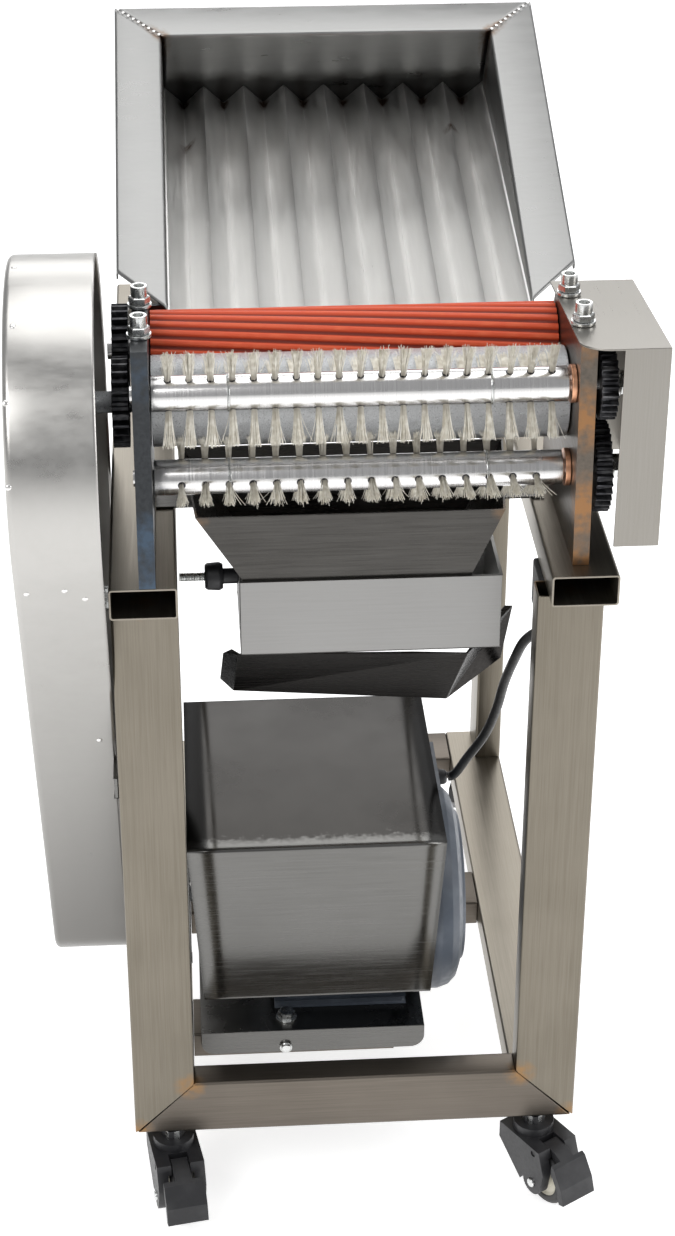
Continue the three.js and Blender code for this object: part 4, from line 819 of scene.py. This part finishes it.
def outline_round(drum, drum_radius, foot, foot_radius, steps=28):
    """The closed line round two circles: an arc on each, joined by their outer tangents."""
    d, f = np.array(drum, float), np.array(foot, float)
    line = math.atan2(f[1] - d[1], f[0] - d[0])
    lean = math.acos((drum_radius - foot_radius) / np.linalg.norm(f - d))
    big = line + lean + (2 * np.pi - 2 * lean) * np.linspace(0, 1, 2 * steps)
    small = line - lean + 2 * lean * np.linspace(0, 1, steps)
    arc = d + drum_radius * np.c_[np.cos(big), np.sin(big)]
    back = f + foot_radius * np.c_[np.cos(small), np.sin(small)]
    share = np.linspace(0, 1, 12)[1:-1, None]
    return np.concatenate([arc, arc[-1] + (back[0] - arc[-1]) * share,
                           back, back[-1] + (arc[0] - back[-1]) * share])


def drive_belt():
    """A V-belt section 10 wide outside and 7 inside, 8 deep, carried round both pulleys."""
    section = eased([(-4.9, -0.6), (4.9, -0.6), (3.6, -8.4), (-3.6, -8.4)], 0.7, 2, True)
    rings = []
    for x, drop in section:
        line = outline_round(KNURLED, 92 + drop, MOTOR, 24 + drop)
        rings.append(np.c_[np.full(len(line), BELT_X + x), line])
    solid = outward(*loft(np.array(rings), close_ends=False, closed_loop=True))
    make("drive_belt_section", "frame", belt_rubber, solid, "drive_belt")


drive_belt()

DRUM, FOOT = (80.0, 680.0), (172.0, 207.8)
GUARD_TANGENT = 631.0             # where the drum's front meets the straight run below it


def guard_ring(x, inset):
    """The guard's outline at one depth, drawn in by an inset."""
    line = outline_round(DRUM, 135 - inset, FOOT, 50 - inset, 36)
    return np.c_[np.full(len(line), x), line]


def belt_guard():
    """A pressed drum and a bent wall round both pulleys: from the outer flat over a 5 mm bend to the open edge."""
    bend = np.linspace(0, np.pi / 2, 7)
    stations = [(-248.0, 30.0), (-248.0, 12.0)] + [(-243 - 5 * math.cos(b), 5 - 5 * math.sin(b)) for b in bend]
    stations += [(-225.0, 0.0), (-205.0, 0.0), (-186.5, 0.0), (-184.2, 0.0)]
    rings = np.array([guard_ring(x, inset) for x, inset in stations])
    n, m, _ = rings.shape
    points = rings.reshape(-1, 3)
    wall = grid_faces(n, m, False, True)
    if shell_volume(points, [wall], points.mean(0)) < 0:
        wall = wall[:, ::-1]
    flat = np.arange(m)[None, :]
    if np.cross(points[1] - points[0], points[m // 3] - points[0])[0] > 0:
        flat = flat[:, ::-1]
    guard = make("belt_guard_shell", "frame", guard_steel, (points, [wall, flat]),
                 "belt_guard", 40.0)
    thick(guard, SHEET)
    standoffs = [turned([(-247, 5), (-190.8, 5), (-190.8, 9), (-182.8, 9)], centre, "x", 32, 0.4)
                 for centre in ((2, 588), (47, 420))]
    make("guard_standoffs", "frame", zinc, together(*standoffs), (), 30.0)
    rounded_edges(make("guard_tab", "frame", cover_steel, outward(*block(-185.8, -182.8, 4, 58, 411, 429)),
                       (), 30.0), 0.5)


belt_guard()


def weld_dots(name, places, radius, height):
    """Small flattened domes: radius falls as a quarter circle over the height, on the given outward normal."""
    bodies = []
    for (x, y, z), normal in places:
        n = np.asarray(normal, float)
        n /= np.linalg.norm(n)
        u = np.cross(n, (0.9, 0.1, 0.3))
        u /= np.linalg.norm(u)
        v = np.cross(n, u)
        rise = np.array([-0.25, 0.0, 0.4, 0.7, 0.9, 1.0])[:, None, None] * height
        spread = np.array([1.0, 1.0, 0.9, 0.68, 0.4, 0.05])[:, None, None] * radius
        angle = np.linspace(0, 2 * np.pi, 12, endpoint=False)[None, :, None]
        ring = np.array([x, y, z]) + rise * n + spread * (np.cos(angle) * u + np.sin(angle) * v)
        bodies.append(loft(ring))
    make(name, "frame", weld_metal, together(*bodies), ())


def guard_normal(y, z):
    """Outward from the guard's drum, or square to its front run below the drum's tangent point."""
    if z > GUARD_TANGENT:
        return (0.0, y - DRUM[0], z - DRUM[1])
    return (0.0, -0.932, -0.362)


weld_dots("guard_weld_dots", [((x, y, z), guard_normal(y, z)) for x, y, z in (
    (-241, 80, 815), (-240, 14.3, 797.9), (-245.5, -29, 759.6), (-245.5, -52.3, 706.7), (-239, -39.8, 615.7),
    (-212, -40.7, 617.9), (-198, -37.3, 609), (-196, 23.8, 451.5))], 2.2, 0.7)

# ---------------------------------------------------------------- motor


def motor_frame():
    """The motor's barrel: 80 in radius, with 40 cooling ribs along it, each a clipped cosine lobe 6 high,
    between plain end rings. Feet, webs, terminal box and cable gland stand on it."""
    x = np.array([-75.0, -68, -66, -62, -58, 44, 48, 52, 66])[:, None]
    rib = np.array([0.0, 0, 0, 0, 1, 1, 0, 0, 0])[:, None]
    outer = np.array([60.0, 72, 78, 80, 80, 80, 80, 80, 80])[:, None]
    angle = np.linspace(0, 2 * np.pi, 320, endpoint=False)[None, :]
    groove = (1 - np.clip(np.cos(40 * angle) * 1.6 + 0.3, 0, 1)) * 6.0
    radius = outer - rib * groove
    barrel = loft(along("x", x, radius * np.cos(angle), radius * np.sin(angle), MOTOR))
    make("motor_barrel", "frame", enamel, outward(*barrel), "motor_body", 50.0)
    foot_top, base = base_top + 8, base_top + 0.3
    parts = [block(-60, 51, 124, 140, base, foot_top), block(-60, 51, 217, 254, base, foot_top),
             block(-50, 41, 126, 138, foot_top - 1, 157), block(-50, 41, 224, 238, foot_top - 1, 157)]
    rounded_edges(make("motor_feet", "frame", enamel, together(*parts), (), 30.0), 1.6, 3)
    box = together(block(14, 84, 190, 262, 215, 281), block(13.2, 84.6, 189, 262.6, 281.4, 286))
    rounded_edges(make("motor_terminal_box", "frame", enamel, box, (), 30.0), 1.8, 3)
    gland = together(
        turned([(83, 1), (83, 8), (89, 8), (89, 1)], (235, 268), "x", 6, 0.0),
        turned([(88, 1), (88, 7.2), (94, 6.4), (96, 5), (96, 1)], (235, 268), "x", 32, 0.8))
    make("motor_gland", "frame", black_plastic, gland, (), 30.0)
    screws = [turned([(286, 0.5), (286, 3.4), (287.2, 3.2), (287.8, 0.5)], (sx, sy), "z", 20, 0.3)
              for sx in (19.5, 78) for sy in (196, 256)]
    make("terminal_box_screws", "frame", zinc, together(*screws), (), 30.0)


def motor_cowl():
    """The fan cowl: a turned shell whose end steps inwards in five rings, with slots sunk between them."""
    profile = [(54, 80.4), (54, 89), (79, 89), (88, 86), (94, 80), (97, 72), (98.5, 66)]
    for r in (58, 50, 42, 34, 26):
        profile += [(101, r + 6), (101, r + 2.2), (98.4, r + 2.0), (98.4, r)]
    profile += [(101, 24), (101, 1), (98, 1), (96, 24), (95, 60), (90, 76), (78, 86), (66.4, 86), (66.4, 80.4)]
    make("motor_cowl_turned", "frame", enamel, outward(*turned(profile, MOTOR, "x", 96, 0.5, True)),
         "motor_cowl", 45.0)


motor_frame()
motor_cowl()


def motor_cover():
    """One folded sheet: hem, front, top and rear, a rounded line in side view carried across,
    narrower towards the foot of the front by 11 mm at each side."""
    line = eased([(94, 152), (80, 152), (80, 306), (95, 306), (112, 306), (315, 306), (315, 157.8)], 4.0, 5)
    y, z = line[:, 0], line[:, 1]
    taper = np.where(y < 200, 11 * np.clip((306 - z) / 154, 0, 1), 0.0)
    share = np.linspace(0, 1, 9)[None, :]
    left, right = (-133 + taper)[:, None], (80 - taper)[:, None]
    x = left + (right - left) * share
    points = np.stack([x, np.broadcast_to(y[:, None], x.shape), np.broadcast_to(z[:, None], x.shape)], -1)
    n, m, _ = points.shape
    faces = grid_faces(n, m)
    flat = points.reshape(-1, 3)
    on_top = np.flatnonzero((flat[faces[:, 0], 2] > 305.9) & (flat[faces[:, 2], 2] > 305.9))[0]
    faces = facing(flat, faces, on_top, (0, 0, 1))
    # Painted reflection: marks the cover's top, which the material darkens to near black.
    shade = 1.7 * np.clip((flat[:, 1] - 86) / 20, 0, 1) * (flat[:, 2] > 300)
    cover = make("motor_cover_folded", "frame", motor_cover_steel, (flat, [faces]),
                 "motor_cover", 50.0, shade)
    thick(cover, SHEET)
    parts = together(block(-133, -131.5, 81.5, 96, 192, 304.5), block(-133, -93, 313.5, 315, base_top + 0.3, 158),
                     block(40, 80, 313.5, 315, base_top + 0.3, 158))
    rounded_edges(make("motor_cover_flange", "frame", cover_steel, parts, (), 30.0), 0.4)


motor_cover()
weld_dots("cover_weld_dots", [((217, 12, 742), (1, 0, 0.2)), ((217, 42, 740), (1, 0, 0.2))], 1.8, 0.4)

# ---------------------------------------------------------------- feed tray

TRAY_HALF, TRAY_IN, TRAY_LONG, TRAY_IN_END = 177.0, 138.0, 364.0, 325.0
FLOOR_END, FRONT_CORNER = 348.0, 42.0
CHANNEL, CHANNEL_DEEP = 2 * TRAY_IN / 8, 22.0


def ridge_height(v):
    """Height of the channel ridges under the rim's plane at a distance up the tray."""
    return -2.5 + v * math.tan(FLOOR_TILT)


def tray_floor():
    """Eight V channels: depth grows with the distance from the nearest ridge, with ridges and valleys
    rounded by a soft absolute value; each line of the floor runs up to the sloping end wall."""
    u = np.linspace(-TRAY_IN, TRAY_IN, 8 * 18 + 1)
    phase = ((u + TRAY_IN) / CHANNEL) % 1.0
    fold = np.sqrt((np.abs(phase - 0.5)) ** 2 + 0.0009) / math.sqrt(0.25 + 0.0009)
    crest = np.exp(-((np.minimum(phase, 1 - phase)) / 0.045) ** 2)
    depth = -22.0 * (1 - fold) / (1 - math.sqrt(0.0009) / math.sqrt(0.2509)) - 0.5 * crest
    end = (325.637 - 0.2547 * depth) / 0.95187
    share = np.linspace(0, 1, 121)[:, None]
    v = share * end[None, :]
    w = ridge_height(v) + depth[None, :]
    points = tray_to_frame(np.stack([np.broadcast_to(u, v.shape), v, w], -1))
    valley = np.exp(-((phase - 0.5) / 0.13) ** 2)[None, :]
    from_end = end[None, :] - v
    burn = valley * np.exp(-((from_end - 6) / 8.0) ** 2)
    burn = np.maximum(burn, 0.8 * valley * np.exp(-(v / 3.0) ** 2))
    for bu, bv, size in ((-118, 268, 6.0), (104, 268, 6.0)):
        burn = np.maximum(burn, 0.8 * np.exp(-(((u[None, :] - bu) ** 2 + (v - bv) ** 2) / size ** 2)))
    n, m, _ = points.shape
    faces = grid_faces(n, m)
    flat = points.reshape(-1, 3)
    floor = make("feed_tray_floor", "frame", tray_floor_steel, (flat, [facing(flat, faces, 0, (0, 0, 1))]),
                 "feed_tray", 70.0, burn.ravel())
    thick(floor, SHEET)


def tray_rim():
    """The folded rim: down the inner wall, over a rounded top, across the flat, and down the outer lip,
    drawn as one profile between the inner and the outer line of a U round the tray."""
    low_front, low_back = (ridge_height(v) - CHANNEL_DEEP - 0.5 for v in (0, FLOOR_END))
    sign = np.array([-1.0, -1.0, 1.0, 1.0])
    ends = np.array([0.0, 1.0, 1.0, 0.0])
    inner = np.c_[sign * TRAY_IN, ends * TRAY_IN_END]
    outer = np.c_[sign * TRAY_HALF, FRONT_CORNER + ends * (TRAY_LONG - FRONT_CORNER)]
    foot = np.c_[sign * TRAY_IN, ends * FLOOR_END, low_front + ends * (low_back - low_front)]
    t = np.linspace(0, 1, 60)[:, None]
    runs = [tuple(p[a] + (p[a + 1] - p[a]) * t for p in (inner, outer, foot)) for a in range(3)]
    points, faces, marks, first = [], [], [], 0
    for i, o, f in runs:
        flat_i, flat_o = np.c_[i, np.zeros(len(i))], np.c_[o, np.zeros(len(o))]
        away = flat_o - flat_i
        size = np.linalg.norm(away, axis=1)[:, None]
        down = f - flat_i
        drop = np.linalg.norm(down, axis=1)[:, None]
        lines = [f, flat_i + down * 0.5, flat_i + down * np.minimum(5 / drop, 0.3)]
        for t in np.linspace(0, 1, 5):
            lines.append((1 - t) ** 2 * (flat_i + down * np.minimum(4 / drop, 0.25))
                         + 2 * t * (1 - t) * flat_i + t ** 2 * (flat_i + away * 4 / size))
        lines.append(flat_i + away * 0.5)
        for t in np.linspace(0, 1, 6):
            lines.append((1 - t) ** 2 * (flat_o - away * 3.5 / size) + 2 * t * (1 - t) * flat_o
                         + t ** 2 * (flat_o + np.array([0, 0, -3.5])))
        lines.append(flat_o + np.array([0, 0, -8.0]))
        drawn = np.array(lines)
        n, m, _ = drawn.shape
        burn = np.zeros((n, m))
        for cu, cv, strength, spread in ((-138, 325, 0.75, 55.0), (138, 325, 0.75, 55.0),
                                         (-158, 345, 0.4, 20.0), (158, 345, 0.4, 20.0)):
            gap = (drawn[..., 0] - cu) ** 2 + (drawn[..., 1] - cv) ** 2
            burn = np.maximum(burn, strength * np.exp(-gap / spread))
        world = tray_to_frame(drawn.reshape(-1, 3))
        points.append(world)
        faces.append(facing(world, grid_faces(n, m), (n - 8) * (m - 1), (0, 0, 1)) + first)
        marks.append(burn.ravel())
        first += len(world)
    rim = make("feed_tray_rim", "frame", tray_steel, (np.concatenate(points), [np.concatenate(faces)]),
               (), 60.0, np.concatenate(marks))
    thick(rim, SHEET)


tray_floor()
tray_rim()

bead = np.array([[s * (140 + 34 * t), 327 + 34 * t, 0.5] for s in (-1, 1) for t in np.linspace(0, 1, 9)])
bead_world = tray_to_frame(bead)
weld_dots("tray_mitre_beads", [(tuple(p), (0, -0.366, 0.93)) for p in bead_world], 1.5, 0.35)
rounded_edges(make("tray_corner_angle", "frame", plate_dark, together(
    block(-159, -134, 168, 171, 726, 747), block(-159, -156, 150, 171, 740, 760)), (), 30.0), 0.6)

# ---------------------------------------------------------------- sieve box and knob


def pierced_side(x, y0, y1, z0, z1, cell):
    """A sheet of square cells, each with a round hole: eight points on the cell's edge join eight on the hole."""
    ny, nz = int((y1 - y0) / cell), int((z1 - z0) / cell)
    cell_y, cell_z = (y1 - y0) / ny, (z1 - z0) / nz
    gy, gz = np.meshgrid(y0 + (np.arange(ny) + 0.5) * cell_y, z0 + (np.arange(nz) + 0.5) * cell_z)
    angle = np.arange(8) * np.pi / 4
    square = np.sign(np.round(np.c_[np.cos(angle), np.sin(angle)], 6)) * 0.5
    edge = square * (cell_y, cell_z)
    hole = np.c_[np.cos(angle), np.sin(angle)] * min(cell_y, cell_z) * 0.31
    around = np.concatenate([edge, hole])
    yz = np.stack([gy.ravel(), gz.ravel()], -1)[:, None] + around[None]
    points = np.concatenate([np.full(yz.shape[:2] + (1,), x), yz], -1).reshape(-1, 3)
    base = np.arange(8)
    quads = np.stack([base, (base + 1) % 8, 8 + (base + 1) % 8, 8 + base], -1)[None]
    faces = (quads + np.arange(ny * nz)[:, None, None] * 16).reshape(-1, 4)
    return points, faces


def sieve_box():
    """Four sheet walls of an open box, with the left one pierced."""
    x0, x1, y0, y1, z0, z1 = -86, 114, 60, 160, 501.6, 565
    walls = together(block(x0, x1, y0, y0 + 1.5, z0, z1), block(x0, x1, y1 - 1.5, y1, z0, z1),
                     block(x1 - 1.5, x1, y0 + 1.5, y1 - 1.5, z0, z1))
    rounded_edges(make("sieve_box_walls", "frame", box_steel, walls, "sieve_box", 30.0), 0.5)
    points, faces = pierced_side(x0, y0 + 1.5, y1 - 1.5, z0, z1, 6.2)
    side = make("sieve_box_pierced_side", "frame", box_steel, (points, [faces]), (), 30.0)
    work = bmesh.new()
    work.from_mesh(side.data)
    bmesh.ops.remove_doubles(work, verts=work.verts, dist=1e-5)
    for face in work.faces:
        if face.normal.x > 0:
            face.normal_flip()
    work.to_mesh(side.data)
    work.free()
    thick(side, 1.2)


sieve_box()
make("box_knob_turned", "sieve_knob", black_plastic, outward(*turned([
    (-112, 1), (-112, 9), (-110, 10.4), (-101, 11), (-98, 9.5), (-98, 6), (-86.3, 6), (-86.3, 4), (-83.5, 4),
    (-83.5, 1)], KNOB, "x", 40, 0.6)), "box_knob", 40.0)
thread = np.linspace(-131.5, -111, 70)
thread_radius = 3.25 + 0.35 * np.cos(thread * 2 * np.pi / 1.25)
make("knob_stud", "sieve_knob", zinc, outward(*turned(
    list(zip(thread, thread_radius)), KNOB, "x", 24, 0.0)), (), 60.0)

# ---------------------------------------------------------------- switch and motor lead

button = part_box("switch_button")
button_x = (button[0].x + button[1].x) * 500 - ZERO[0]
button_z = (button[0].z + button[1].z) * 500
make("switch_button_turned", "switch_plunger", red_plastic, outward(*turned([
    (58, 1), (58, 9), (66, 9), (67, 7.5), (66.6, 1)], (button_x, button_z), "y", 48, 0.8)),
    "switch_button")

lead_route = smooth_path([
    (96.9, 235, 268), (101, 235, 269), (111, 209, 305), (121.5, 181, 345.5), (126.5, 153, 388),
    (128.5, 128, 428), (132, 103, 464), (137, 78, 497), (149, 54, 522), (157, 45, 533), (157, 44, 540.4)])
make("motor_lead_sheath", "frame", cable, outward(*tube_along(lead_route, 4.0, 16)), "motor_lead")

# ---------------------------------------------------------------- casters


# Each caster's stem, as (x, y), and the way its wheel trails, in degrees from +X.
CASTERS = {"front_left": (-151.5, 12.5, -80), "front_right": (151.5, 12.5, -58),
           "rear_left": (-157.5, 540, 100), "rear_right": (157.5, 540, 75)}


def about_heading(points, place):
    """Points drawn with the wheel ahead on +X turned to the caster's heading and set at its stem."""
    x, y, heading = place
    c, s = math.cos(math.radians(heading)), math.sin(math.radians(heading))
    p = np.asarray(points, float)
    return np.stack([x + p[:, 0] * c - p[:, 1] * s, y + p[:, 0] * s + p[:, 1] * c, p[:, 2]], -1)


def caster_wheel(name, place):
    """A turned tread with a rounded shoulder, a cream hub with a sunk face, and a zinc axle with domed ends."""
    body = f"caster_{name}_wheel"
    at = (24.0, 25.0)
    tyre = turned([(-9, 17), (-9, 22.5), (-6.5, 25), (6.5, 25), (9, 22.5), (9, 17)], at, "y", 64, 1.4, True)
    hub = turned([(-8.6, 4.6), (-8.6, 9), (-6, 10), (-6, 15), (-8.2, 17), (8.2, 17), (6, 15), (6, 10), (8.6, 9),
                  (8.6, 4.6)], at, "y", 48, 0.5, True)
    axle = turned([(-22, 1), (-22, 4), (22, 4), (22, 1)], at, "y", 28, 1.2)
    for part, material, solid, stands, slot in (
            ("tyre", tread, tyre, f"caster_wheel_{name}", "wheel_tread"),
            ("hub", hub_plastic, hub, (), "black_plastic"), ("axle", zinc, axle, (), "zinc")):
        points, faces = outward(*solid)
        solid = (about_heading(points, place), faces)
        make(f"caster_{name}_{part}", body, material, solid, stands, 35.0)


for name, place in CASTERS.items():
    caster_wheel(name, place)
    eased_part(f"caster_fork_{name}", f"caster_{name}_swivel", black_plastic, 1.0, 2)
    nut = outward(*turned([(68.2, 5.2), (68.2, 9.0), (69, 9.8), (76.2, 9.8), (77, 9.0), (77, 5.2)],
                          place[:2], "z", 6, 0.0, True))
    make(f"caster_{name}_nut", f"caster_{name}_swivel", zinc, nut, (), 30.0)
for name in ("front_left", "front_right"):
    eased_part(f"caster_pedal_{name}", f"caster_{name}_brake", black_plastic, 0.9, 2)

# ---------------------------------------------------------------- stage


def stage():
    """A wide pale floor, a light even sky and large soft panels above, left and right."""
    grid = np.array([[-80, -80], [80, -80], [80, 80], [-80, 80]], float)
    mesh = bpy.data.meshes.new("floor")
    mesh.from_pydata([(x, y, 0.0) for x, y in grid], [], [(0, 1, 2, 3)])
    floor = bpy.data.objects.new("floor", mesh)
    bpy.context.scene.collection.objects.link(floor)
    finish = Finish("floor_paper", roughness=0.9)
    tone = finish.noise(0.8, 2.0)
    finish.colour(finish.blend(tone, (0.93, 0.93, 0.93), (0.96, 0.96, 0.96)))
    finish.shader.inputs["Emission Color"].default_value = (1.0, 1.0, 1.0, 1.0)
    finish.shader.inputs["Emission Strength"].default_value = 0.62
    mesh.materials.append(finish.material)
    world = bpy.data.worlds.new("studio")
    bpy.context.scene.world = world
    bpy.context.scene.view_settings.view_transform = "Standard"
    world.use_nodes = True
    world.node_tree.nodes["Background"].inputs["Color"].default_value = (0.97, 0.98, 1.0, 1.0)
    world.node_tree.nodes["Background"].inputs["Strength"].default_value = 0.42
    for name, place, aim, size, power in (
            ("key_panel", (-1.6, -2.2, 2.6), (0, 0, 0.5), (1.6, 1.6), 40.0),
            ("top_panel", (0.2, 0.4, 3.0), (0, 0, 0.6), (2.4, 2.0), 34.0),
            ("rear_panel", (0.3, 3.0, 2.3), (0, 0, 0.6), (3.2, 1.5), 34.0),
            ("side_panel", (2.4, -0.9, 1.5), (0, 0, 0.5), (0.9, 1.8), 20.0)):
        lamp = bpy.data.objects.new(name, bpy.data.lights.new(name, "AREA"))
        lamp.data.shape = "RECTANGLE"
        lamp.data.size, lamp.data.size_y = size
        lamp.data.energy = power
        bpy.context.scene.collection.objects.link(lamp)
        lamp.location = place
        back = (np.array(place) - np.array(aim)) / np.linalg.norm(np.array(place) - np.array(aim))
        side = np.cross((0, 0, 1), back)
        side = side / np.linalg.norm(side) if np.linalg.norm(side) > 0.01 else np.array([1.0, 0, 0])
        turn = Matrix((tuple(side), tuple(np.cross(back, side)), tuple(back))).transposed().to_4x4()
        lamp.matrix_world = Matrix.Translation(place) @ turn


place_camera()
stage()
